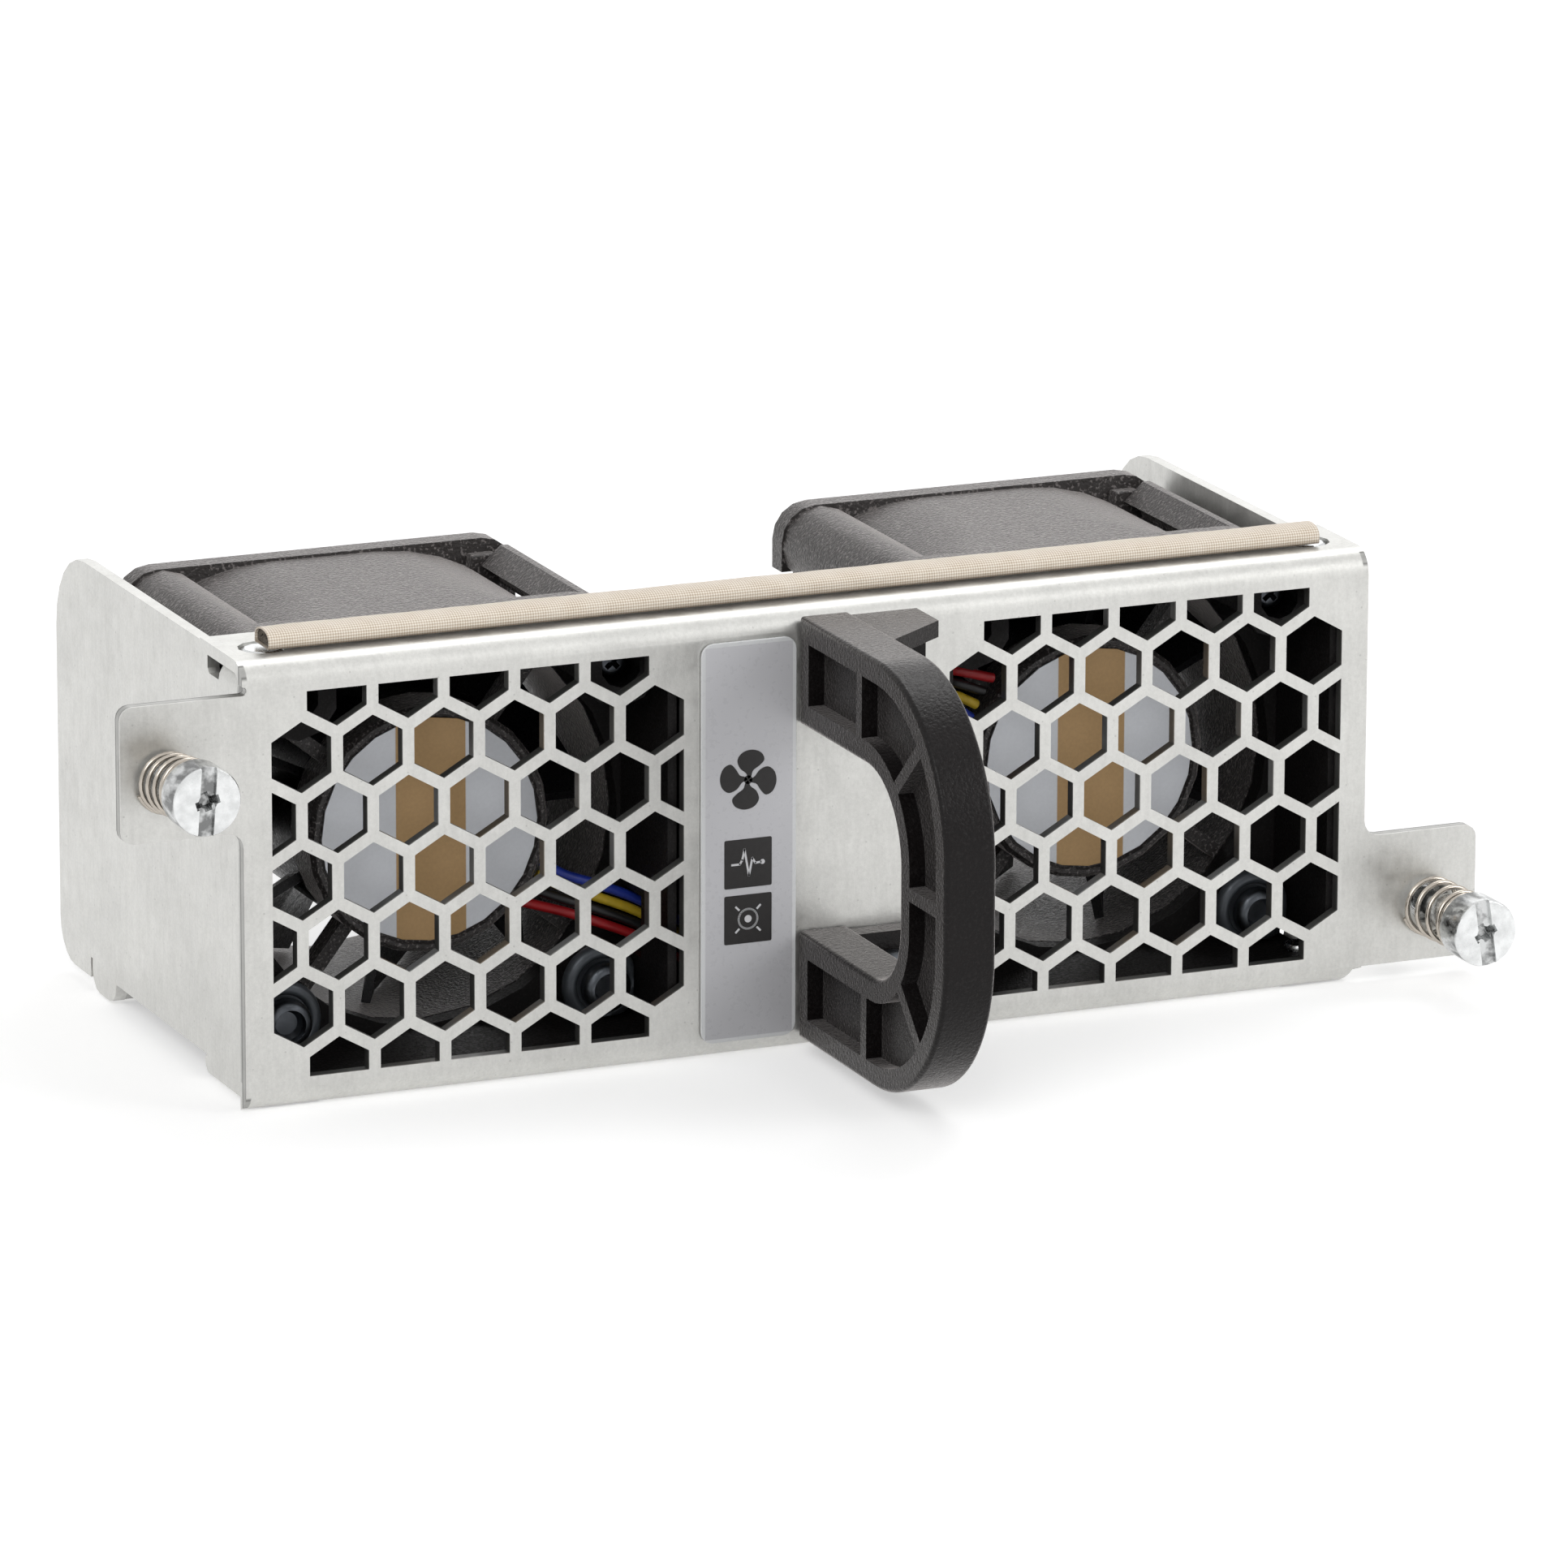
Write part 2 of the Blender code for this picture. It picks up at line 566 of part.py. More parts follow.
def side_panel():
    """The left side panel: a flat side with bent tabs behind the flanges and a lug at the rear foot."""
    bend = 2.0 * MM
    low, high = -TAB_TOP, TAB_TOP
    rear_r, foot_r = 8.0 * MM, 4.0 * MM
    step_top = high - bend
    notch = NOTCH_Y + SEAT + 0.1 * MM
    lug0, lug1 = 37.8 * MM, 44.4 * MM
    lug_r = 1.9 * MM
    lug_low = SIDE_BOTTOM - 2.1 * MM
    lobe_low = SIDE_BOTTOM - 1.1 * MM
    outline = [(TAB_FRONT, step_top), (notch - 0.4 * MM, step_top), (notch, step_top + 0.4 * MM),
               (notch, SIDE_TOP - 0.6 * MM), (notch + 0.6 * MM, SIDE_TOP)]
    outline += arc((SIDE_DEPTH - rear_r, SIDE_TOP - rear_r), rear_r, 90, 0, 6)
    outline += arc((SIDE_DEPTH - foot_r, lobe_low + foot_r), foot_r, 0, -90, 5)
    outline += [(lug1 + 0.5 * MM, lobe_low), (lug1 + 0.5 * MM, SIDE_BOTTOM + 0.9 * MM), (lug1, SIDE_BOTTOM + 0.9 * MM)]
    outline += arc((lug1 - lug_r, lug_low + lug_r), lug_r, 0, -90, 3)
    outline += arc((lug0 + lug_r, lug_low + lug_r), lug_r, 270, 180, 3)
    foot = FOOT_TAB_LOW + bend
    outline += [(lug0, SIDE_BOTTOM), (FOOT_TAB_REAR, SIDE_BOTTOM), (FOOT_TAB_REAR, foot), (TAB_FRONT, foot)]
    panel = prism(outline, -SIDE_OUT, -SIDE_IN, "X")
    upper = prism(tab_section(high, bend), TAB_FRONT, TAB_REAR, "Y")
    lower = prism([(a, -b) for a, b in tab_section(-FOOT_TAB_LOW, bend)], TAB_FRONT, FOOT_TAB_REAR, "Y")
    union(panel, upper, lower)
    lip = box((-SIDE_OUT, lug0 + lug_r, lug_low), (-SIDE_IN + 3.5 * MM, lug1 - lug_r, lug_low + SHEET))
    union(panel, lip)
    holes = [rod((-RIVET_X, RIVET_Y), 1.4 * MM, TAB_TOP - 2 * MM, TAB_TOP + 2 * MM, 12, "Z"),
             rod((-RIVET_X, RIVET_Y), 1.4 * MM, FOOT_TAB_LOW - 2 * MM, FOOT_TAB_LOW + 2 * MM, 12, "Z"),
             rod((-RIVET_X, RIVET_Y), RIVET_HEAD + SKIN_SEAT, FOOT_TAB_LOW - RIVET_SINK, FOOT_TAB_LOW + RIVET_SINK, 12, "Z")]
    for hole in holes:
        cut(panel, hole)
    return panel


def tab_section(high, bend):
    """The section of a tab that bends inward below a height, with its start in the side panel."""
    reach = -SIDE_IN + TAB_LENGTH
    r_out, r_in = bend, bend - SHEET
    corner = (-SIDE_OUT + bend, high - bend)
    lap = 1.0 * MM
    return ([(-SIDE_OUT, corner[1] - lap)] + arc(corner, r_out, 180, 90, 5)
            + [(reach, high), (reach, high - SHEET)] + arc(corner, r_in, 90, 180, 5) + [(-SIDE_IN, corner[1] - lap)])


# Fan pieces, drawn about the fan's axis with the frame's front face at y = 0


def square_ring(y0, y1):
    return prism(round_box((-FAN_HALF, -FAN_HALF), (FAN_HALF, FAN_HALF), FAN_CORNER), y0, y1, "Y")


def body_outline(flat):
    """The fan body's section: flat sides that curve gently down to blunt corners."""
    top = FAN_HALF - FAN_FLAT_DROP
    across, down = FAN_HALF - FAN_BODY_IN - flat, FAN_BODY_DROP - FAN_FLAT_DROP
    radius = (across ** 2 + down ** 2) / (2 * down)
    sweep = math.degrees(math.asin(across / radius))
    right = arc((flat, top - radius), radius, 90, 90 - sweep, 3)
    side = [(-x, z) for x, z in reversed(right)] + right
    points = []
    for _ in range(4):
        points += side
        side = [(z, -x) for x, z in side]
    return points


def loft(sections):
    """A solid through outlines of equal length, each given with its place on the Y axis."""
    def build(shape):
        rings = [[shape.verts.new((x, y, z)) for x, z in outline] for y, outline in sections]
        for ring, after in zip(rings, rings[1:]):
            for i in range(len(ring)):
                j = (i + 1) % len(ring)
                shape.faces.new((ring[i], ring[j], after[j], after[i]))
        shape.faces.new(rings[0])
        shape.faces.new(rings[-1])
    return make_object("loft", mesh_from(build))


def fan_frame():
    wide, narrow = body_outline(FAN_FLARE_FLAT), body_outline(FAN_BODY_FLAT)
    body = loft([(0.5 * MM, wide), (FAN_FLARE_END, wide), (FAN_BARREL_START, narrow), (FAN_DEPTH - 0.5 * MM, narrow)])
    frame = union(body, square_ring(0, FAN_FLANGE_FRONT), square_ring(FAN_DEPTH - FAN_FLANGE_REAR, FAN_DEPTH))
    corners = [(sx * HOLE, sz * HOLE) for sx in (-1, 1) for sz in (-1, 1)]
    post_r = FAN_HALF - HOLE - 0.1 * MM
    for s in (-1, 1):
        union(frame, rod((s * HOLE, -s * HOLE), post_r, 1 * MM, FAN_DEPTH - 1 * MM, 12))
        edge, lip = FAN_HALF - 0.45 * MM, FAN_HALF - 1.2 * MM
        low, high = FAN_HALF - FAN_BODY_IN - 0.3 * MM, FAN_HALF - FAN_BODY_DROP - 0.2 * MM
        web = [(edge, edge - 1 * MM), (edge - 1 * MM, edge), (lip - 1 * MM, edge), (low, high), (low - 1 * MM, low - 1 * MM),
               (high, low), (edge, lip - 1 * MM)]
        union(frame, prism([(s * x, s * z) for x, z in web], 1 * MM, FAN_DEPTH - FAN_FLANGE_REAR - FAN_POCKET, "Y"))
    bore = turned([(0, -1 * MM), (FAN_BORE_R, -1 * MM), (FAN_BORE_R, FAN_DEPTH - 3 * MM),
                   (FAN_BORE_R + 0.5 * MM, FAN_DEPTH + 1 * MM), (0, FAN_DEPTH + 1 * MM)], FINE)
    cut(frame, bore)
    cut(frame, merge([rod(corner, 1.8 * MM, -1 * MM, FAN_DEPTH + 1 * MM, 8) for corner in corners]))
    cut(frame, box((FAN_HALF - 2.2 * MM, FAN_DEPTH - FAN_FLANGE_REAR - 0.5 * MM, -13.6 * MM),
                   (FAN_HALF + 1 * MM, FAN_DEPTH + 1 * MM, -5.0 * MM)))
    hub = turned([(0, -FAN_HUB_PROUD + 0.4 * MM), (HUB_LABEL_R + 0.25 * MM, -FAN_HUB_PROUD + 0.4 * MM),
                  (HUB_LABEL_R + 0.4 * MM, -FAN_HUB_PROUD), (FAN_HUB_R - 0.4 * MM, -FAN_HUB_PROUD),
                  (FAN_HUB_R, -FAN_HUB_PROUD + 0.5 * MM), (FAN_HUB_R, HUB_REAR),
                  (TUBE_OUT, HUB_REAR), (TUBE_OUT, TUBE_REAR), (TUBE_IN, TUBE_REAR),
                  (TUBE_IN, HUB_REAR - 1.0 * MM), (0, HUB_REAR - 1.0 * MM)], FINE)
    struts = []
    for i in range(FAN_STRUTS):
        strut = box((FAN_HUB_R - 1.0 * MM, 0.1 * MM, -0.7 * MM), (FAN_BORE_R + 0.9 * MM, HUB_REAR, 0.7 * MM))
        strut.data.transform(Matrix.Rotation(STRUT_TURN + i * 2 * math.pi / FAN_STRUTS, 4, "Y"))
        struts.append(strut)
    union(hub, *struts)
    return union(frame, hub)


FAN_FLARE_END = 5.6 * MM
FAN_BARREL_START = 12.4 * MM
FAN_POCKET = 1.6 * MM
HUB_REAR = 2.4 * MM
TUBE_OUT = 3.9 * MM
TUBE_IN = 3.1 * MM
TUBE_REAR = 19.0 * MM
STRUT_TURN = math.radians(38)
ROTOR_FRONT = HUB_REAR + 0.6 * MM
ROTOR_REAR = FAN_DEPTH - 1.4 * MM
ROTOR_SHELL = 1.1 * MM
SHAFT_R = 1.2 * MM


def fan_rotor():
    """The rotor: an open cup with a shaft and swept blades round it."""
    r_out, r_in = FAN_HUB_R - 0.2 * MM, FAN_HUB_R - 0.2 * MM - ROTOR_SHELL
    crown = 1.5 * MM
    cup = turned([(0, ROTOR_REAR), (r_out - crown, ROTOR_REAR), (r_out - 0.4 * crown, ROTOR_REAR - 0.3 * crown),
                  (r_out, ROTOR_REAR - crown), (r_out, ROTOR_FRONT), (r_in, ROTOR_FRONT),
                  (r_in, ROTOR_REAR - ROTOR_SHELL - 0.4 * MM), (SHAFT_R + 1.2 * MM, ROTOR_REAR - ROTOR_SHELL - 0.4 * MM),
                  (SHAFT_R + 1.2 * MM, TUBE_REAR + 1.0 * MM), (SHAFT_R, TUBE_REAR + 1.0 * MM),
                  (SHAFT_R, HUB_REAR + 0.4 * MM), (0, HUB_REAR + 0.4 * MM)], 20)
    root, tip = r_out - 0.5 * MM, FAN_BORE_R - BLADE_TIP_GAP
    front, rear = ROTOR_FRONT + 0.6 * MM, ROTOR_REAR - crown - 0.6 * MM
    across, along = 1, 4
    blades = bmesh.new()
    for blade in range(BLADES):
        start = blade * 2 * math.pi / BLADES
        grid = []
        for j in range(along + 1):
            t = j / along
            y = front + (rear - front) * t
            sweep = math.radians(62) * (0.35 * t + 0.65 * t ** 1.7)
            row = []
            for i in range(across + 1):
                r = root + (tip - root) * i / across
                angle = start + sweep * (1 - 0.18 * i / across)
                row.append(blades.verts.new((r * math.cos(angle), y, r * math.sin(angle))))
            grid.append(row)
        for j in range(along):
            for i in range(across):
                blades.faces.new((grid[j][i], grid[j][i + 1], grid[j + 1][i + 1], grid[j + 1][i]))
    mesh = bpy.data.meshes.new("blades")
    blades.to_mesh(mesh)
    blades.free()
    vanes = make_object("blades", mesh)
    thick = vanes.modifiers.new("solidify", "SOLIDIFY")
    thick.thickness = BLADE_THICKNESS
    thick.offset = 0
    apply_modifiers(vanes)
    return union(cup, vanes)


def fan_stator():
    """The laminated stator with its wound poles, round the bearing tube."""
    core_in = TUBE_OUT + SEAT
    pole_r = FAN_HUB_R - 0.2 * MM - ROTOR_SHELL - 0.6 * MM
    y0, y1 = HUB_REAR + 3.0 * MM, HUB_REAR + 13.0 * MM
    core = turned([(core_in, y0), (core_in + 1.4 * MM, y0), (core_in + 1.4 * MM, y1), (core_in, y1)], 12)
    for i in range(4):
        pole = box((core_in + 0.8 * MM, y0 + 1 * MM, -2.2 * MM), (pole_r - 1.0 * MM, y1 - 1 * MM, 2.2 * MM))
        shoe = prism(arc((0, 0), pole_r, -34, 34, 2) + arc((0, 0), pole_r - 1.3 * MM, 34, -34, 2), y0 + 1.5 * MM, y1 - 1.5 * MM, "Y")
        for piece in (pole, shoe):
            piece.data.transform(Matrix.Rotation(i * math.pi / 2 + math.pi / 4, 4, "Y"))
        union(core, pole, shoe)
    return core


def fan_bearing():
    return turned([(SHAFT_R + SEAT, HUB_REAR + 0.5 * MM), (TUBE_IN - 0.1 * MM, HUB_REAR + 0.5 * MM),
                   (TUBE_IN - 0.1 * MM, TUBE_REAR - 1.5 * MM), (SHAFT_R + SEAT, TUBE_REAR - 1.5 * MM)], 12)


def hub_label():
    front = -FAN_HUB_PROUD + 0.4 * MM - SKIN_SEAT
    return rod((0, 0), HUB_LABEL_R, front - 0.2 * MM, front, FINE)


# Duct frame: one black moulding that carries both fans and the board


def duct_frame():
    half_x = SIDE_IN - SEAT
    top = FLANGE_UNDER - SEAT
    inner_z = top - DUCT_WALL
    edge = BEND_RADIUS - SHEET - SEAT
    section = [(DUCT_FRONT + edge, top), (DUCT_FRONT, top - edge), (DUCT_FRONT, edge - top), (DUCT_FRONT + edge, -top),
               (BULKHEAD_REAR, -top), (BULKHEAD_REAR, top)]
    frame = prism(section, -half_x, half_x, "X")
    openings = []
    for s in (-1, 1):
        x_in, x_out = CENTRE_HALF + DUCT_WALL, half_x - DUCT_WALL
        low, high = (x_in, x_out) if s > 0 else (-x_out, -x_in)
        openings.append(box((low, 0, -inner_z), (high, BULKHEAD_FRONT, inner_z)))
    openings.append(box((-CENTRE_HALF, 0, -inner_z), (CENTRE_HALF, BULKHEAD_FRONT, inner_z)))
    cut(frame, merge(openings))
    throats = [rod((s * FAN_X, FAN_RAISE), FAN_BORE_R, BULKHEAD_FRONT - 1 * MM, BULKHEAD_REAR + 1 * MM, FINE) for s in (-1, 1)]
    slot = BOARD_THICKNESS / 2 + SEAT
    throats.append(box((-slot, BULKHEAD_FRONT - 1 * MM, BOARD_BOTTOM - SEAT), (slot, BULKHEAD_REAR + 1 * MM, BOARD_TOP + SEAT)))
    cut(frame, merge(throats))
    for s in (-1, 1):
        z = FAN_RAISE - s * LEAD_EXIT
        x0, x1 = sorted((s * (CENTRE_HALF - 1 * MM), s * (CENTRE_HALF + DUCT_WALL + 1 * MM)))
        cut(frame, box((x0, 8.0 * MM, z - 3.0 * MM), (x1, BULKHEAD_FRONT, z + 3.0 * MM)))
    lap = 0.5 * MM
    for s in (-1, 1):
        for sx in (-1, 1):
            x = s * FAN_X + sx * HOLE
            for sz, front in ((-1, LOWER_BOSS_FRONT), (1, UPPER_BOSS_FRONT)):
                z = FAN_RAISE + sz * HOLE
                boss = rod((x, z), BOSS_R, front, BULKHEAD_FRONT + lap, 10)
                limit = box((s * FAN_X - FAN_HALF + 0.4 * MM, 0, -inner_z - lap), (s * FAN_X + FAN_HALF - 0.4 * MM, BULKHEAD_REAR, inner_z + lap))
                boolean(boss, limit, "INTERSECT")
                union(frame, boss)
                if sz > 0:
                    cut(frame, rod((x, z), UPPER_HEAD_R + SEAT, 0, UPPER_SEAT, 10))
                cut(frame, rod((x, z), 1.6 * MM, 0, BULKHEAD_REAR + 1 * MM, 8))
    for reach, drop_z in ((SIDE_IN - TAB_LENGTH - SEAT, SEAT), (RIVET_X - RIVET_HEAD - SEAT, 1.0 * MM)):
        notches = []
        for sx in (-1, 1):
            x0, x1 = sorted((sx * reach, sx * (half_x + 1 * MM)))
            notches.append(box((x0, 0, TAB_TOP - SHEET - drop_z), (x1, TAB_REAR + SEAT, top + 1 * MM)))
        cut(frame, merge(notches))
    for sx in (-1, 1):
        x0, x1 = sorted((sx * (SIDE_IN - SHEET), sx * (half_x + 1 * MM)))
        cut(frame, box((x0, 0, -top - 1 * MM), (x1, FOOT_TAB_REAR + SEAT, 1 * MM - inner_z)))
    cut(frame, merge([rod((sx * RIVET_X, RIVET_Y), 1.4 * MM, -top - 1 * MM, -inner_z + 1 * MM, 10, "Z") for sx in (-1, 1)]))
    shelf = box((BOARD_THICKNESS / 2 + SEAT, BULKHEAD_REAR - lap, SHELF_LOW), (BOARD_THICKNESS / 2 + SEAT + 2.4 * MM, SHELF_REAR, SHELF_HIGH))
    union(frame, shelf)
    cut(frame, merge([rod((y, SCREW_TAB_Z), 0.95 * MM, 0, 4 * MM, 12, "X") for y in BOARD_SCREW_Y]))
    return frame


UPPER_SEAT = 8.4 * MM
SHELF_LOW = -12.0 * MM
SHELF_HIGH = -2.0 * MM
SHELF_REAR = 38.0 * MM
SCREW_TAB_Z = -7.0 * MM
BOARD_SCREW_Y = (21.0 * MM, 34.0 * MM)


def fan_screw(seat, length, head_r):
    """A pan screw for the fan's corner; y = 0 is the face its head sits on."""
    shank_r = 1.3 * MM
    return turned([(0, -1.9 * MM), (head_r * 0.7, -1.9 * MM), (head_r, -1.2 * MM), (head_r, -seat),
                  (shank_r, -seat), (shank_r, length), (0, length)], 8)


def washer():
    return turned([(1.6 * MM, -WASHER_THICKNESS), (2.7 * MM, -WASHER_THICKNESS), (WASHER_R, -0.5 * WASHER_THICKNESS),
                   (WASHER_R, 0), (1.6 * MM, 0)], 10)


WASHER_THICKNESS = 1.0 * MM
WASHER_R = 3.0 * MM


# Handle


def handle_outline():
    """The handle's side outline in Y and Z, running from the panel forwards."""
    r, back = HANDLE_OUTER_R, -SEAT
    reach = -HANDLE_REACH
    grip = reach + HANDLE_GRIP
    rt, rb = HANDLE_INNER_TOP_R, HANDLE_INNER_BOTTOM_R
    top_in, bottom_in = HANDLE_TOP - HANDLE_LEG, HANDLE_BOTTOM + HANDLE_LEG
    points = [(back, HANDLE_TOP)] + arc((reach + r, HANDLE_TOP - r), r, 90, 180, HANDLE_STEPS)
    points += arc((reach + r, HANDLE_BOTTOM + r), r, 180, 270, HANDLE_STEPS) + [(back, HANDLE_BOTTOM), (back, bottom_in)]
    points += arc((grip + rb, bottom_in + rb), rb, 270, 180, 4) + arc((grip + rt, top_in - rt), rt, 180, 90, 4)
    return points + [(back, top_in)]


def handle_pocket(x0, x1):
    """The hollow between the handle's walls, divided by its ribs."""
    wall, r = HANDLE_WALL, HANDLE_OUTER_R - HANDLE_WALL
    reach, back = -HANDLE_REACH + wall, -SEAT - wall
    grip = -HANDLE_REACH + HANDLE_GRIP - wall
    rt, rb = HANDLE_INNER_TOP_R + wall, HANDLE_INNER_BOTTOM_R + wall
    top, bottom = HANDLE_TOP - wall, HANDLE_BOTTOM + wall
    top_in, bottom_in = HANDLE_TOP - HANDLE_LEG + wall, HANDLE_BOTTOM + HANDLE_LEG - wall
    points = [(back, top)] + arc((reach + r, top - r), r, 90, 180, HANDLE_STEPS)
    points += arc((reach + r, bottom + r), r, 180, 270, HANDLE_STEPS) + [(back, bottom), (back, bottom_in)]
    points += arc((grip + rb, bottom_in + rb), rb, 270, 180, 4) + arc((grip + rt, top_in - rt), rt, 180, 90, 4)
    pocket = prism(points + [(back, top_in)], x0, x1, "X")
    ribs = (((-14.2 * MM, 15.5 * MM), 90), ((-25.0 * MM, 11.9 * MM), 137), ((-29.0 * MM, 0.5 * MM), 0),
            ((-25.7 * MM, -11.0 * MM), 45), ((-15.6 * MM, -15.0 * MM), 90))
    for (y, z), angle in ribs:
        rib = box((x0 - 1 * MM, -6 * MM, -HANDLE_RIB / 2), (x1 + 1 * MM, 6 * MM, HANDLE_RIB / 2))
        rib.data.transform(Matrix.Translation((0, y, z)) @ Matrix.Rotation(math.radians(angle), 4, "X"))
        cut(pocket, rib)
    return pocket


def handle():
    grip = bevel(prism(handle_outline(), HANDLE_LEFT, HANDLE_RIGHT, "X"), 0.5 * MM, 1, 60)
    over = 1 * MM
    cut(grip, handle_pocket(HANDLE_LEFT - over, HANDLE_LEFT + HANDLE_POCKET))
    cut(grip, handle_pocket(HANDLE_RIGHT - HANDLE_POCKET, HANDLE_RIGHT + over))
    x0, x1 = HANDLE_RIGHT - 0.9 * MM, HANDLE_RIGHT + LUG_WIDTH
    top_in, bottom_in = HANDLE_TOP - HANDLE_LEG, HANDLE_BOTTOM + HANDLE_LEG
    front, deep, inset = -5.4 * MM, -10.5 * MM, 0.3 * MM
    outline = [(x0, -SEAT), (x1, -SEAT), (x1, front), (HANDLE_RIGHT, deep), (x0, deep)]
    for z0, z1, r0, r1 in ((top_in + inset, HANDLE_TOP - inset, HANDLE_TOP - inset - LUG_ROOF, HANDLE_TOP - inset),
                           (HANDLE_BOTTOM + inset, bottom_in - inset, HANDLE_BOTTOM + inset, HANDLE_BOTTOM + inset + LUG_ROOF)):
        plate = box((x0, -SEAT - LUG_PLATE, z0), (x1, -SEAT, z1))
        union(plate, prism(outline, r0, r1, "Z"))
        union(grip, plate)
    cut(grip, merge([rod((HANDLE_SCREW_X, z), 1.8 * MM, -SEAT - LUG_PLATE - over, over, 16) for z in HANDLE_SCREW_Z]))
    return grip


def handle_screw():
    """A pan screw whose head sits on the lug at y = 0."""
    length = LUG_PLATE + SEAT + SHEET + 3.4 * MM
    return turned([(0, -2.2 * MM), (1.9 * MM, -2.1 * MM), (2.7 * MM, -1.4 * MM), (2.75 * MM, -SKIN_SEAT),
                   (1.4 * MM, -SKIN_SEAT), (1.4 * MM, length), (0, length)], 12)


def clinch_nut():
    """A round clinch nut behind the front sheet, y = 0 at its flange."""
    return turned([(1.7 * MM, 0), (3.3 * MM, 0), (2.8 * MM, 0.9 * MM), (2.8 * MM, 2.4 * MM), (1.7 * MM, 2.4 * MM)], 8)


# Captive screws


def captive_screw(standoff):
    """A slotted and crossed captive screw, its axis along Y and its face at -standoff."""
    face = -standoff
    back = face + SCREW_HEAD_LENGTH
    step = back + 5.0 * MM
    stop = SHEET + SEAT + RIGHT_STANDOFF - standoff
    thread = stop + CLIP_THICKNESS + SEAT
    tip = thread + 4.8 * MM
    obj = turned([(0, face), (SCREW_HEAD_R - 0.25 * MM, face), (SCREW_HEAD_R, face + 0.25 * MM), (SCREW_HEAD_R, back),
                  (SCREW_SHOULDER_R, back), (SCREW_SHOULDER_R, min(step, -1.2 * MM)),
                  (SCREW_NECK_R, min(step, -1.2 * MM) + 0.5 * MM), (SCREW_NECK_R, thread), (SCREW_THREAD_R, thread),
                  (SCREW_THREAD_R, tip - 0.8 * MM), (0.8 * MM, tip), (0, tip)], 16)
    slot = box((-0.75 * MM, face - 1 * MM, -SCREW_HEAD_R - 1 * MM), (0.75 * MM, face + 1.3 * MM, SCREW_HEAD_R + 1 * MM))
    slot.data.transform(Matrix.Rotation(math.radians(8), 4, "Y"))
    return cut(obj, slot)


def captive_clip():
    """The retaining washer behind the ear, y = 0 at its front face."""
    inner = SCREW_NECK_R + SKIN_SEAT
    return turned([(inner, 0), (3.1 * MM, 0), (3.1 * MM, CLIP_THICKNESS), (inner, CLIP_THICKNESS)], 10)


def captive_spring(standoff):
    """A compression spring between the ear and the screw head, with a closed turn at each end."""
    mean_r = SCREW_HEAD_R - 0.25 * MM - SPRING_WIRE_R
    y0 = -SEAT - SPRING_WIRE_R
    y1 = -standoff + SCREW_HEAD_LENGTH + SEAT + SPRING_WIRE_R
    per_turn = 8
    closed = 2.3 * SPRING_WIRE_R
    free = abs(y1 - y0) - 2 * closed
    points = []
    for i in range(SPRING_TURNS * per_turn + 1):
        turn = i / per_turn
        if turn < 1:
            travel = closed * turn
        elif turn > SPRING_TURNS - 1:
            travel = closed + free + closed * (turn - SPRING_TURNS + 1)
        else:
            travel = closed + free * (turn - 1) / (SPRING_TURNS - 2)
        angle = 2 * math.pi * turn + math.radians(200)
        points.append((mean_r * math.cos(angle), y0 - travel, mean_r * math.sin(angle)))
    return tube(points, SPRING_WIRE_R, "spring")


# Electronics in the centre bay


def control_board():
    half = BOARD_THICKNESS / 2
    outline = [(BOARD_FRONT, BOARD_TOP - 2 * MM), (BOARD_FRONT + 2 * MM, BOARD_TOP), (BULKHEAD_REAR + 1 * MM, BOARD_TOP),
               (BULKHEAD_REAR + 4 * MM, BOARD_REAR_TOP), (BOARD_REAR, BOARD_REAR_TOP),
               (BOARD_REAR, BOARD_BOTTOM), (BOARD_FRONT, BOARD_BOTTOM)]
    board = prism(outline, -half, half, "X")
    return cut(board, merge([rod((y, SCREW_TAB_Z), 1.2 * MM, -2 * MM, 2 * MM, 10, "X") for y in BOARD_SCREW_Y]))


def board_screw():
    """A pan screw along X; its head sits on the board's left face at x = 0."""
    obj = turned([(0, -1.4 * MM), (1.5 * MM, -1.4 * MM), (1.9 * MM, -0.9 * MM), (1.9 * MM, -SKIN_SEAT),
                  (0.8 * MM, -SKIN_SEAT), (0.8 * MM, 4.0 * MM), (0, 4.0 * MM)], 8)
    obj.data.transform(Matrix.Rotation(-math.pi / 2, 4, "Z"))
    return obj


def rear_connector():
    """A blind-mate receptacle at the board's rear, open to the rear."""
    x0 = -BOARD_THICKNESS / 2 - SEAT
    x1 = x0 - 9.0 * MM
    y0, y1 = 38.0 * MM, SIDE_DEPTH - 2.0 * MM
    z0, z1 = -15.0 * MM, 5.0 * MM
    wall = 1.5 * MM
    body = box((x1, y0, z0), (x0, y1, z1))
    bevel(body, 0.4 * MM, 1, 60)
    cut(body, box((x1 + wall, y0 + 3.0 * MM, z0 + wall), (x0 - wall, y1 + 1 * MM, z1 - wall)))
    lead_in = 0.8 * MM
    mouth = prism(round_box((x1 + wall - lead_in, z0 + wall - lead_in), (x0 - wall + lead_in, z1 - wall + lead_in), 0.3 * MM, 1),
                  y1 - lead_in, y1 + 1 * MM, "Y")
    return cut(body, mouth)


def fan_socket():
    """A four-way header on the board; its mouth faces away from the board, along -X."""
    body = box((-5.0 * MM, -2.5 * MM, -3.4 * MM), (0, 2.5 * MM, 3.4 * MM))
    cut(body, box((-6.0 * MM, -1.6 * MM, -2.6 * MM), (-2.0 * MM, 1.6 * MM, 2.6 * MM)))
    return body


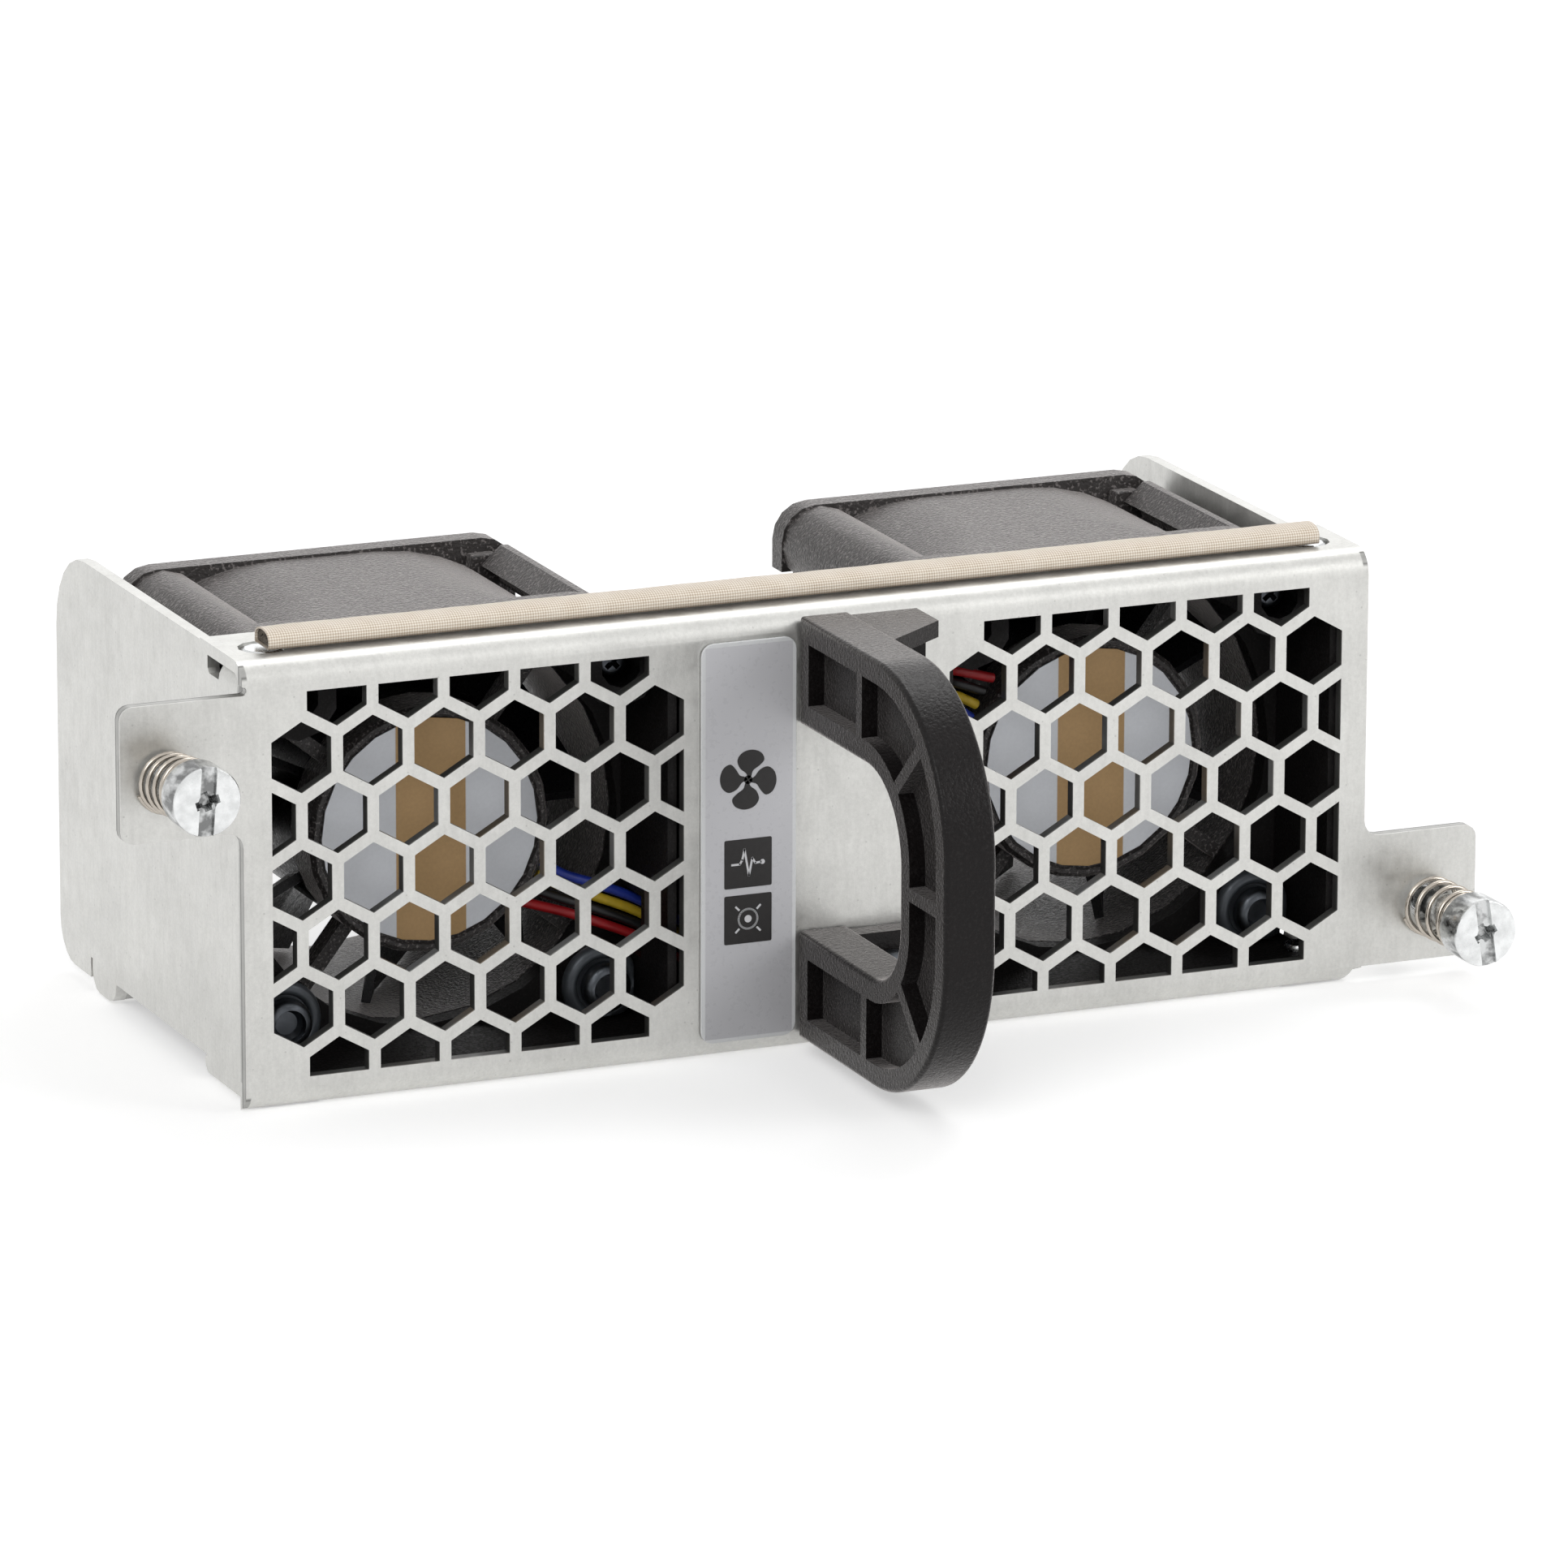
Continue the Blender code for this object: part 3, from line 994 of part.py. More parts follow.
def light_guide():
    """A moulded guide from a window in the front sheet back to the board's edge."""
    w = WINDOW / 2 - SKIN_SEAT
    front, knee, rear = -0.0 * MM, 2.4 * MM, 7.2 * MM
    board = -BOARD_THICKNESS / 2 - SEAT
    outline = [(WINDOW_X - w, front), (WINDOW_X + w, front), (WINDOW_X + w, knee),
               (board, rear - 2.2 * MM), (board, rear), (board - 2.0 * MM, rear), (WINDOW_X - w, knee + 1.6 * MM)]
    return prism(outline, -w, w, "Z")


def gasket():
    """The conductive fabric over foam seal on the top flange, a D section along X."""
    width, height = 3.7 * MM, 1.75 * MM
    base = HALF_H + SEAT
    centre = 5.0 * MM
    shoulder = 0.7 * MM
    section = [(centre - width / 2, base), (centre + width / 2, base), (centre + width / 2, base + shoulder)]
    for angle in range(20, 180, 20):
        a = math.radians(angle)
        section.append((centre + width / 2 * math.cos(a), base + shoulder + (height - shoulder) * math.sin(a)))
    section.append((centre - width / 2, base + shoulder))
    return prism(section, GASKET_LEFT, GASKET_RIGHT, "X")


GASKET_RIGHT = HALF_W - 3.75 * MM
GASKET_LEFT = -GASKET_RIGHT


def label_strip():
    return prism(round_box((LABEL_LEFT, LABEL_TOP - LABEL_HEIGHT), (LABEL_LEFT + LABEL_WIDTH, LABEL_TOP), 1.2 * MM),
                 -SKIN_SEAT - 0.3 * MM, -SKIN_SEAT, "Y")


def lead_path(side, lane):
    """A fan lead from the hub, in front of the bulkhead, through the duct wall to its header."""
    s = -1 if side == "left" else 1
    shift = (lane - 1.5) * LEAD_PITCH
    z_start = -6.6 * MM + shift
    x_start = math.sqrt((FAN_HUB_R + LEAD_R + SEAT) ** 2 - z_start ** 2)
    local = [(x_start, FAN_FRONT - 1.2 * MM, z_start), (13.8 * MM, FAN_FRONT - 1.8 * MM, -7.9 * MM + shift),
             (16.6 * MM, BULKHEAD_FRONT - 1.1 * MM, -8.8 * MM + shift),
             (FAN_X - CENTRE_HALF, BULKHEAD_FRONT - 1.7 * MM, LEAD_EXIT + shift)]
    points = [Vector((s * (FAN_X - x), y, FAN_RAISE - s * z)) for x, y, z in local]
    x_socket, z_socket = s * (BOARD_THICKNESS / 2 + SEAT), SOCKET_Z[side]
    points.append(Vector((x_socket + s * 8.0 * MM, SOCKET_Y + 0.3 * MM, z_socket - s * shift)))
    points.append(Vector((x_socket + s * 3.2 * MM, SOCKET_Y, z_socket - s * shift)))
    return points


LEAD_EXIT = -10.4 * MM
LEAD_PITCH = 1.22 * MM
SOCKET_Y = 10.2 * MM
SOCKET_Z = {"left": -12.6 * MM, "right": 9.4 * MM}


def build():
    add("front_panel", front_panel(), "galvanised")
    side = side_panel()
    other = mirror_x(side)
    add("side_panel_left", side, "galvanised")
    add("side_panel_right", other, "galvanised")
    upper = rivet(HALF_H, TAB_TOP - SHEET)
    lower = rivet(-FOOT_TAB_LOW, TAB_TOP - DUCT_WALL)
    lower.data.transform(Matrix.Rotation(math.pi, 4, "X"))
    for s, word in ((-1, "left"), (1, "right")):
        add(f"flange_rivet_top_{word}", copy_of(upper), "zinc", (s * RIVET_X, RIVET_Y, 0))
        add(f"flange_rivet_bottom_{word}", copy_of(lower), "zinc", (s * RIVET_X, RIVET_Y, 0))
    drop(upper)
    drop(lower)
    add("duct_frame", duct_frame(), "black_plastic")

    shapes = {"fan_frame": (fan_frame(), "black_plastic"), "fan_rotor": (fan_rotor(), "rotor_plastic"),
              "fan_stator": (fan_stator(), "motor_copper"), "fan_bearing": (fan_bearing(), "bearing_steel"),
              "hub_label": (hub_label(), "fan_label")}
    screw_long = fan_screw(SKIN_SEAT, FAN_FRONT + 7 * MM - LOWER_BOSS_FRONT, LOWER_HEAD_R)
    screw_deep = fan_screw(SKIN_SEAT, FAN_FRONT + 7 * MM - UPPER_SEAT, UPPER_HEAD_R)
    ring = washer()
    for s, word in ((-1, "left"), (1, "right")):
        turn = 0 if s < 0 else math.pi
        for name, (shape, finish) in shapes.items():
            add(f"{name}_{word}", copy_of(shape), finish, (s * FAN_X, FAN_FRONT, FAN_RAISE), turn=turn)
        number = 0
        for sx in (-1, 1):
            place = (s * FAN_X + sx * HOLE, 0, 0)
            number += 1
            add(f"fan_screw_{word}_{number}", copy_of(screw_deep), "dark_zinc", (place[0], UPPER_SEAT, FAN_RAISE + HOLE))
            add(f"fan_washer_{word}_{number}", copy_of(ring), "dark_zinc", (place[0], LOWER_BOSS_FRONT - SKIN_SEAT, FAN_RAISE - HOLE))
            add(f"fan_screw_{word}_{number + 2}", copy_of(screw_long), "dark_zinc",
                (place[0], LOWER_BOSS_FRONT - SKIN_SEAT - WASHER_THICKNESS, FAN_RAISE - HOLE))
    for shape, _ in shapes.values():
        drop(shape)
    for shape in (screw_long, screw_deep, ring):
        drop(shape)

    add("emi_gasket", gasket(), "conductive_fabric")
    add("handle", handle(), "black_plastic", smooth=30)
    for z, word in zip(HANDLE_SCREW_Z, ("upper", "lower")):
        add(f"handle_screw_{word}", handle_screw(), "dark_zinc", (HANDLE_SCREW_X, -SEAT - LUG_PLATE, z))
        add(f"handle_nut_{word}", clinch_nut(), "zinc", (HANDLE_SCREW_X, SHEET + SKIN_SEAT, z))
    add("label_strip", label_strip(), "label_film")
    for z, word in zip(WINDOW_Z, ("status", "locator")):
        add(f"light_guide_{word}", light_guide(), "light_guide", (0, 0, z))
    add("control_board", control_board(), "circuit_board")
    for y, word in zip(BOARD_SCREW_Y, ("front", "rear")):
        add(f"board_screw_{word}", board_screw(), "zinc", (-BOARD_THICKNESS / 2, y, SCREW_TAB_Z))
    add("rear_connector", rear_connector(), "connector_plastic")
    for s, word in ((-1, "left"), (1, "right")):
        socket = fan_socket()
        if s > 0:
            socket.data.transform(Matrix.Rotation(math.pi, 4, "Z"))
        add(f"fan_socket_{word}", socket, "connector_plastic", (s * (BOARD_THICKNESS / 2 + SEAT), SOCKET_Y, SOCKET_Z[word]))
    for word in ("left", "right"):
        for lane, colour in enumerate(("red", "black", "yellow", "blue")):
            path = smooth_path(lead_path(word, lane), 9)
            add(f"lead_{word}_{colour}", tube(path, LEAD_R), f"lead_{colour}")

    for word, (x, z), standoff in (("left", LEFT_SCREW, LEFT_STANDOFF), ("right", RIGHT_SCREW, RIGHT_STANDOFF)):
        axis = bpy.data.objects.new(f"captive_{word}_axis", None)
        axis.location = (x, 0, z)
        axis.parent = origin
        parts.objects.link(axis)
        add(f"captive_screw_{word}", captive_screw(standoff), "zinc", parent=axis)
        add(f"captive_spring_{word}", captive_spring(standoff), "spring_steel", parent=axis)
        add(f"captive_clip_{word}", captive_clip(), "zinc", (0, SHEET + SEAT + RIGHT_STANDOFF - standoff, 0), parent=axis)


build()
for leftover in list(cutters.objects):
    drop(leftover)
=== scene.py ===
"""Looks of the switch fan tray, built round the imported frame. Units are metres."""
import math

import bmesh
import bpy
from mathutils import Matrix, Vector


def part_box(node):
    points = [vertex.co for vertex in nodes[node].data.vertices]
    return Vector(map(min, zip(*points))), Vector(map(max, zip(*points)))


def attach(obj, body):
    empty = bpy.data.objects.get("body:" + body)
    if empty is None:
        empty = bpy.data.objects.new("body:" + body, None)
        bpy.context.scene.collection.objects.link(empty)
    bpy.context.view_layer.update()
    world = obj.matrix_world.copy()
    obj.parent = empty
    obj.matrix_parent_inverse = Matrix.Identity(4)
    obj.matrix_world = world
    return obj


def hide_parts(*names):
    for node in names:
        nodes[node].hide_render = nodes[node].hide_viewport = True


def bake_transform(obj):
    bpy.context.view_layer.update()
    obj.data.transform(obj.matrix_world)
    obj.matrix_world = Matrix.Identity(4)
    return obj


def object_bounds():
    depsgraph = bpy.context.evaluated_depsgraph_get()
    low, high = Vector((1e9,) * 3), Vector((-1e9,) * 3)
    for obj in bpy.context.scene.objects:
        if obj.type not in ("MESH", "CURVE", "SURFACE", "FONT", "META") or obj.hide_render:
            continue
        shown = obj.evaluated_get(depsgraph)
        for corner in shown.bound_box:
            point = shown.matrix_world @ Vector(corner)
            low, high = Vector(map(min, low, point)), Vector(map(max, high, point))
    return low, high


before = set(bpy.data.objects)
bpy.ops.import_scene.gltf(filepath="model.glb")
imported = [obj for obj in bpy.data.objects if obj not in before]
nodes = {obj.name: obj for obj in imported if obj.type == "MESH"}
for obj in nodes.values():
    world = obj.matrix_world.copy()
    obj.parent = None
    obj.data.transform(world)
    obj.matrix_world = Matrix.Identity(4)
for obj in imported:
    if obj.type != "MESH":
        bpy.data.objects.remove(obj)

cad_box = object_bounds()
scene = bpy.context.scene
MM = 0.001

# The centre of the front sheet's outer face in the row frame; the two numbers are in millimetres
PANEL_Y = -9.75
PANEL_Z = 21.4
PANEL = Vector((0, PANEL_Y, PANEL_Z)) * MM


def at(x, y, z):
    """A place given in millimetres from the centre of the front sheet's face."""
    return PANEL + Vector((x, y, z)) * MM


# Camera

CAMERA_AZIMUTH = -0.4052554
CAMERA_ELEVATION = 0.2640138
CAMERA_ROLL = 0.0032008
CAMERA_LENS = 250.88
CAMERA_RIGHT_SHIFT = -6.30555
CAMERA_UP_SHIFT = -1.32853
CAMERA_DISTANCE = 143.20827
CAMERA_UNIT = 7.0 * MM
CAMERA_CENTRE = Vector((-51.37, 0, 0)) * MM


def set_camera():
    """The camera that was fitted to the front sheet, its hexagon rows, the side panel and the ears."""
    a, e, r = CAMERA_AZIMUTH, CAMERA_ELEVATION, CAMERA_ROLL
    level = Vector((math.cos(a), math.sin(a), 0))
    back = Vector((math.sin(a) * math.cos(e), -math.cos(a) * math.cos(e), math.sin(e)))
    upright = back.cross(level)
    right = math.cos(r) * level + math.sin(r) * upright
    up = math.cos(r) * upright - math.sin(r) * level
    place = -CAMERA_RIGHT_SHIFT * right - CAMERA_UP_SHIFT * up + CAMERA_DISTANCE * back
    data = bpy.data.cameras.new("camera")
    data.lens = CAMERA_LENS
    data.sensor_width = 36
    data.sensor_height = 36
    data.clip_start = 0.05
    data.clip_end = 20
    camera = bpy.data.objects.new("camera", data)
    turn = Matrix((right, up, back)).transposed().to_4x4()
    camera.matrix_world = Matrix.Translation(PANEL + CAMERA_CENTRE + place * CAMERA_UNIT) @ turn
    scene.collection.objects.link(camera)
    scene.camera = camera


# Materials


class Look:
    """A Principled material with its textures in object coordinates."""

    def __init__(self, name, roughness=0.5, metallic=0.0, **sockets):
        self.material = bpy.data.materials.new(name)
        self.material.use_nodes = True
        self.tree = self.material.node_tree
        self.shader = self.tree.nodes["Principled BSDF"]
        self.shader.inputs["Roughness"].default_value = roughness
        self.shader.inputs["Metallic"].default_value = metallic
        for socket, value in sockets.items():
            self.shader.inputs[socket.replace("_", " ")].default_value = value
        self.place = self.tree.nodes.new("ShaderNodeTexCoord").outputs["Object"]

    def node(self, kind, **values):
        node = self.tree.nodes.new("ShaderNode" + kind)
        for name, value in values.items():
            setattr(node, name, value)
        return node

    def link(self, out, into):
        self.tree.links.new(out, into)

    def scaled(self, scale):
        """The object coordinates, scaled along each axis."""
        mapping = self.node("Mapping")
        mapping.inputs["Scale"].default_value = scale
        self.link(self.place, mapping.inputs["Vector"])
        return mapping.outputs[0]

    def noise(self, size, detail=2.0, rough=0.5, stretch=(1, 1, 1)):
        """Noise whose features are about the given size in millimetres."""
        texture = self.node("TexNoise")
        texture.inputs["Scale"].default_value = 1 / (size * MM)
        texture.inputs["Detail"].default_value = detail
        texture.inputs["Roughness"].default_value = rough
        self.link(self.scaled(stretch), texture.inputs["Vector"])
        return texture.outputs["Fac"]

    def cells(self, size):
        """The distance to the nearest of many scattered points, about the given size apart in millimetres."""
        texture = self.node("TexVoronoi")
        texture.inputs["Scale"].default_value = 1 / (size * MM)
        self.link(self.place, texture.inputs["Vector"])
        return texture.outputs["Distance"]

    def span(self, value, low, high, to_low=0.0, to_high=1.0):
        """A value stretched from one range to another, and held inside it."""
        ranged = self.node("MapRange")
        sockets = ("From Min", "From Max", "To Min", "To Max")
        for socket, number in zip(sockets, (low, high, to_low, to_high)):
            ranged.inputs[socket].default_value = number
        self.link(value, ranged.inputs["Value"])
        return ranged.outputs["Result"]

    def maths(self, operation, *values):
        node = self.node("Math", operation=operation)
        for socket, value in zip(node.inputs, values):
            if isinstance(value, (int, float)):
                socket.default_value = value
            else:
                self.link(value, socket)
        return node.outputs[0]

    def axis(self, index):
        """One of the object coordinates, in metres."""
        split = self.node("SeparateXYZ")
        self.link(self.place, split.inputs[0])
        return split.outputs[index]

    def blend(self, factor, first, second):
        """Two colours mixed by a factor; each is a colour or a socket."""
        mix = self.node("Mix", data_type="RGBA")
        self.link(factor, mix.inputs["Factor"])
        for socket, colour in zip((mix.inputs[6], mix.inputs[7]), (first, second)):
            if isinstance(colour, tuple):
                socket.default_value = (*colour, 1)
            else:
                self.link(colour, socket)
        return mix.outputs[2]

    def colour(self, socket):
        self.link(socket, self.shader.inputs["Base Color"])

    def rough(self, socket):
        self.link(socket, self.shader.inputs["Roughness"])

    def bump(self, height, distance):
        """Bump from a height of 0 to 1, worth the distance in millimetres; a later call adds to it."""
        node = self.node("Bump")
        node.inputs["Strength"].default_value = 1.0
        node.inputs["Distance"].default_value = distance * MM
        self.link(height, node.inputs["Height"])
        if self.shader.inputs["Normal"].links:
            self.link(self.shader.inputs["Normal"].links[0].from_socket, node.inputs["Normal"])
        self.link(node.outputs[0], self.shader.inputs["Normal"])


def shade(colour, factor):
    return tuple(min(1.0, c * factor) for c in colour)


def steel_look(name, colour, roughness=0.38, seam_shadow=None, cut_edges=False):
    """Galvanised sheet; an optional range of depths gets painted shade, a contact shadow beside the joint
    with the front sheet, and cut edges are bare and darker.
    """
    look = Look(name, roughness, 0.85)
    grain = look.noise(0.3, 4, 0.75)
    streak = look.noise(0.5, 3, 0.6, (1, 1, 0.16))
    cloud = look.noise(9, 3, 0.55)
    value = look.maths("ADD", look.maths("MULTIPLY", grain, 0.45), look.maths("MULTIPLY", streak, 0.25))
    value = look.maths("ADD", value, look.maths("MULTIPLY", cloud, 0.3))
    tone = look.blend(look.span(value, 0.38, 0.62), shade(colour, 0.89), shade(colour, 1.07))
    specks = look.span(look.cells(1.3), 0.05, 0.10, 1, 0)
    tone = look.blend(look.maths("MULTIPLY", specks, 0.4), tone, shade(colour, 0.5))
    depth = look.maths("SUBTRACT", look.axis(1), PANEL_Y * MM)
    if cut_edges:
        height = look.maths("ABSOLUTE", look.maths("SUBTRACT", look.axis(2), PANEL_Z * MM))
        middle = look.span(height, 19.2 * MM, 19.8 * MM, 1, 0)
        across = look.span(look.maths("ABSOLUTE", look.axis(0)), 56.5 * MM, 56.6 * MM)
        inside = look.span(depth, 0.14 * MM, 0.28 * MM)
        bare = look.maths("MULTIPLY", look.span(depth, 1.19 * MM, 1.21 * MM, 1, 0), inside)
        bare = look.maths("MULTIPLY", bare, look.maths("MAXIMUM", middle, across))
        from_middle = look.maths("ABSOLUTE", look.maths("SUBTRACT", depth, 0.66 * MM))
        burr = look.span(from_middle, 0.28 * MM, 0.38 * MM, 0.5, 0.9)
        amount = look.maths("MAXIMUM", burr, look.span(across, 0, 1, 0.85, 0))
        tone = look.blend(look.maths("MULTIPLY", bare, amount), tone, shade(colour, 0.2))
    # Painted shade: the band of depths next to the joint with the front sheet is darkened as a contact
    # shadow.
    if seam_shadow:
        dark = look.maths("MULTIPLY", look.span(depth, seam_shadow[0] * MM, (seam_shadow[0] + 0.1) * MM),
                          look.span(depth, (seam_shadow[1] - 0.7) * MM, seam_shadow[1] * MM, 1, 0))
        tone = look.blend(look.maths("MULTIPLY", dark, 0.75), tone, shade(colour, 0.2))
    look.colour(tone)
    look.rough(look.span(look.noise(1.8, 3), 0.3, 0.7, roughness - 0.07, roughness + 0.08))
    look.bump(grain, 0.014)
    look.bump(look.noise(3.5, 2), 0.03)
    return look.material


def plated_look(name, colour, face, roughness=0.2):
    """Bright plate on a captive screw: an end face lightened as a painted highlight, and a side with a
    painted reflection in dark and light patches.
    """
    look = Look(name, roughness, 1.0)
    depth = look.maths("SUBTRACT", look.axis(1), (face + PANEL_Y) * MM)
    side = look.span(depth, 0.16 * MM, 0.34 * MM)
    # Painted reflection: the side's dark and light patches stand for surroundings mirrored in the plating.
    patch = look.span(look.noise(1.5, 3, 0.6, (1, 0.45, 1)), 0.4, 0.6)
    painted_reflection_side = look.blend(patch, shade(colour, 0.30), shade(colour, 0.92))
    # Painted highlight: the end face is a lighter copy of the same plating.
    end = look.blend(look.span(look.noise(1.1, 3), 0.35, 0.65), shade(colour, 0.98), shade(colour, 1.22))
    look.colour(look.blend(side, end, painted_reflection_side))
    look.rough(look.span(look.noise(0.4, 3), 0.3, 0.7, roughness - 0.08, roughness + 0.1))
    look.bump(look.noise(0.5, 3, 0.6), 0.02)
    return look.material


def metal_look(name, colour, roughness=0.25, grain_size=0.25, depth=0.006, metallic=1.0):
    look = Look(name, roughness, metallic)
    grain = look.noise(grain_size, 3, 0.6)
    patch = look.noise(1.4, 2)
    look.colour(look.blend(look.span(patch, 0.3, 0.7), shade(colour, 0.86), shade(colour, 1.06)))
    look.rough(look.span(grain, 0.3, 0.7, roughness - 0.06, roughness + 0.08))
    look.bump(grain, depth)
    return look.material


def moulded_look(name, colour, roughness=0.5, texture=0.22, depth=0.02, sparkle=0.25, haze=0.0, gloss=0.5,
                 fleck_tone=0.1):
    """Moulded plastic with an eroded surface: fine pits, a slight cloudiness, light flecks painted as glints,
    and a grazing haze.
    """
    look = Look(name, roughness, 0.0, Sheen_Weight=haze, Sheen_Roughness=0.3, Sheen_Tint=(1, 0.94, 0.92, 1),
                Specular_IOR_Level=gloss)
    pits = look.noise(texture, 2, 0.6)
    cloud = look.noise(5, 2)
    tone = look.blend(look.span(cloud, 0.3, 0.7), shade(colour, 0.85), shade(colour, 1.15))
    # Painted glints: light flecks in the base colour, weighted by sparkle.
    glint_fleck = look.span(look.noise(texture * 0.9, 1), 0.56, 0.68)
    light = (colour[0] + fleck_tone, colour[1] + fleck_tone * 0.92, colour[2] + fleck_tone * 0.9)
    look.colour(look.blend(look.maths("MULTIPLY", glint_fleck, sparkle), tone, light))
    look.rough(look.span(pits, 0.35, 0.65, roughness - 0.1, roughness + 0.12))
    look.bump(pits, depth)
    return look.material


def lead_look(name, colour):
    look = Look(name, 0.4, 0.0)
    look.colour(look.blend(look.span(look.noise(1.5, 2), 0.3, 0.7), shade(colour, 0.8), shade(colour, 1.1)))
    look.bump(look.noise(0.3, 2), 0.01)
    return look.material


STEEL = (0.655, 0.652, 0.628)
ZINC = (0.68, 0.69, 0.69)
SPRING = (0.50, 0.455, 0.40)
FAN_BLACK = (0.036, 0.032, 0.031)
HANDLE_BLACK = (0.006, 0.0045, 0.0045)
SILVER = (0.73, 0.75, 0.79)
GOLD = (0.46, 0.29, 0.13)
LEADS = {
    "red": (0.50, 0.015, 0.02),
    "black": (0.012, 0.012, 0.013),
    "yellow": (0.72, 0.50, 0.03),
    "blue": (0.02, 0.05, 0.42),
}


def hub_label_look(centre_x):
    """A silver foil label with an upright brown band, about the fan's axis."""
    look = Look("hub_label", 0.32, 0.35)
    x = look.maths("SUBTRACT", look.axis(0), centre_x)
    off = look.maths("ABSOLUTE", look.maths("SUBTRACT", x, 0.1 * MM))
    grain = look.noise(0.3, 2)
    silver = look.blend(grain, shade(SILVER, 0.95), shade(SILVER, 1.05))
    gold = look.blend(grain, shade(GOLD, 0.9), shade(GOLD, 1.12))
    look.colour(look.blend(look.span(off, 3.45 * MM, 3.55 * MM), gold, silver))
    look.bump(grain, 0.004)
    return look.material


def label_film_look():
    """Satin film with painted shade that darkens it towards its foot, and a paler rim."""
    look = Look("label_film", 0.3, 0.0)
    z = look.axis(2)
    cloud = look.noise(14, 1)
    tone = look.blend(look.span(cloud, 0.3, 0.7), (0.60, 0.60, 0.625), (0.66, 0.66, 0.685))
    # Painted shade: the film darkens towards its foot.
    tone = look.blend(look.span(z, 4 * MM, 16 * MM, 0.75, 0), tone, (0.50, 0.50, 0.52))
    off_x = look.maths("ABSOLUTE", look.maths("ADD", look.axis(0), 7.1 * MM))
    off_z = look.maths("ABSOLUTE", look.maths("SUBTRACT", z, (PANEL_Z - 0.35) * MM))
    edge_x = look.maths("SUBTRACT", off_x, 4.8 * MM)
    edge_z = look.maths("SUBTRACT", off_z, 19.3 * MM)
    rim = look.span(look.maths("MAXIMUM", edge_x, edge_z), -0.42 * MM, -0.36 * MM)
    look.colour(look.blend(rim, tone, (0.74, 0.75, 0.76)))
    look.rough(look.span(look.noise(0.5, 2), 0.3, 0.7, 0.25, 0.36))
    look.bump(look.noise(0.25, 2), 0.004)
    return look.material


def board_look():
    look = Look("circuit_board", 0.35)
    tracks = look.span(look.maths("FRACT", look.maths("MULTIPLY", look.axis(2), 700)), 0.25, 0.3)
    patch = look.span(look.cells(5.5), 0.32, 0.34)
    mask = look.maths("MULTIPLY", tracks, patch)
    look.colour(look.blend(mask, (0.012, 0.11, 0.035), (0.02, 0.17, 0.055)))
    look.bump(mask, 0.02)
    return look.material


def acrylic_look():
    look = Look("light_guide", 0.12, 0.0, Transmission_Weight=0.6, IOR=1.49)
    look.colour(look.blend(look.noise(3, 2), (0.80, 0.84, 0.86), (0.9, 0.92, 0.93)))
    look.bump(look.noise(1, 1), 0.004)
    return look.material


def cloth_look():
    """Fine conductive cloth, woven on the slant, over the seal's round back."""
    look = Look("conductive_cloth", 0.5, 0.25, Sheen_Weight=0.15)
    across = look.maths("SUBTRACT", look.axis(1), (PANEL_Y + 5.0) * MM)
    rise = look.maths("SUBTRACT", look.axis(2), (PANEL_Z + 21.9) * MM)
    round_about = look.maths("MULTIPLY", look.maths("ARCTAN2", rise, across), 1.75 * MM)
    turns_per_metre = 2 * math.pi / (0.5 * MM)
    warp = look.maths("MULTIPLY", look.maths("ADD", look.axis(0), round_about), turns_per_metre)
    weft = look.maths("MULTIPLY", look.maths("SUBTRACT", look.axis(0), round_about), turns_per_metre)
    weave = look.span(look.maths("MULTIPLY", look.maths("SINE", warp), look.maths("SINE", weft)), -1, 1)
    worn = look.noise(2.2, 3)
    tone = look.blend(look.span(weave, 0.25, 0.8), (0.54, 0.43, 0.32), (0.90, 0.83, 0.73))
    tone = look.blend(look.span(worn, 0.35, 0.7, 0.0, 0.22), tone, (0.92, 0.87, 0.79))
    # The lowest band is darkened to brown: partly the adhesive line under the seal, partly painted shade
    # where the seal meets the flange.
    low = look.span(look.axis(2), (PANEL_Z + 21.75) * MM, (PANEL_Z + 22.15) * MM, 0.8, 0)
    look.colour(look.blend(low, tone, (0.20, 0.14, 0.09)))
    look.rough(look.span(weave, 0, 1, 0.62, 0.4))
    look.bump(weave, 0.05)
    return look.material


def foam_look():
    look = Look("foam", 0.85)
    cells = look.cells(0.32)
    look.colour(look.blend(look.span(cells, 0.1, 0.55), (0.035, 0.028, 0.022), (0.15, 0.125, 0.10)))
    look.bump(cells, 0.12)
    return look.material


def ink_look(name, dark, light, roughness):
    look = Look(name, roughness)
    look.colour(look.blend(look.noise(0.5, 3), dark, light))
    look.bump(look.noise(0.12, 2), 0.002)
    return look.material


def winding_look():
    """Copper windings on the poles, with dark laminations between them."""
    look = Look("motor_copper", 0.3, 0.9)
    rings = look.maths("FRACT", look.maths("MULTIPLY", look.axis(1), 2500))
    turns = look.span(rings, 0.1, 0.5)
    look.colour(look.blend(turns, (0.20, 0.08, 0.04), (0.72, 0.33, 0.16)))
    look.bump(turns, 0.05)
    return look.material


# Finishing of CAD nodes: rounded edges and even shading, with the CAD mesh left as it is


def finish_node(name, material, edge):
    """Give a CAD node its material and its rounded edges."""
    obj = nodes[name]
    obj.data.materials.clear()
    obj.data.materials.append(material)
    with bpy.context.temp_override(object=obj, active_object=obj, selected_objects=[obj]):
        bpy.ops.mesh.customdata_custom_splitnormals_clear()
    obj.data.shade_smooth()
    round_edges(obj, edge)


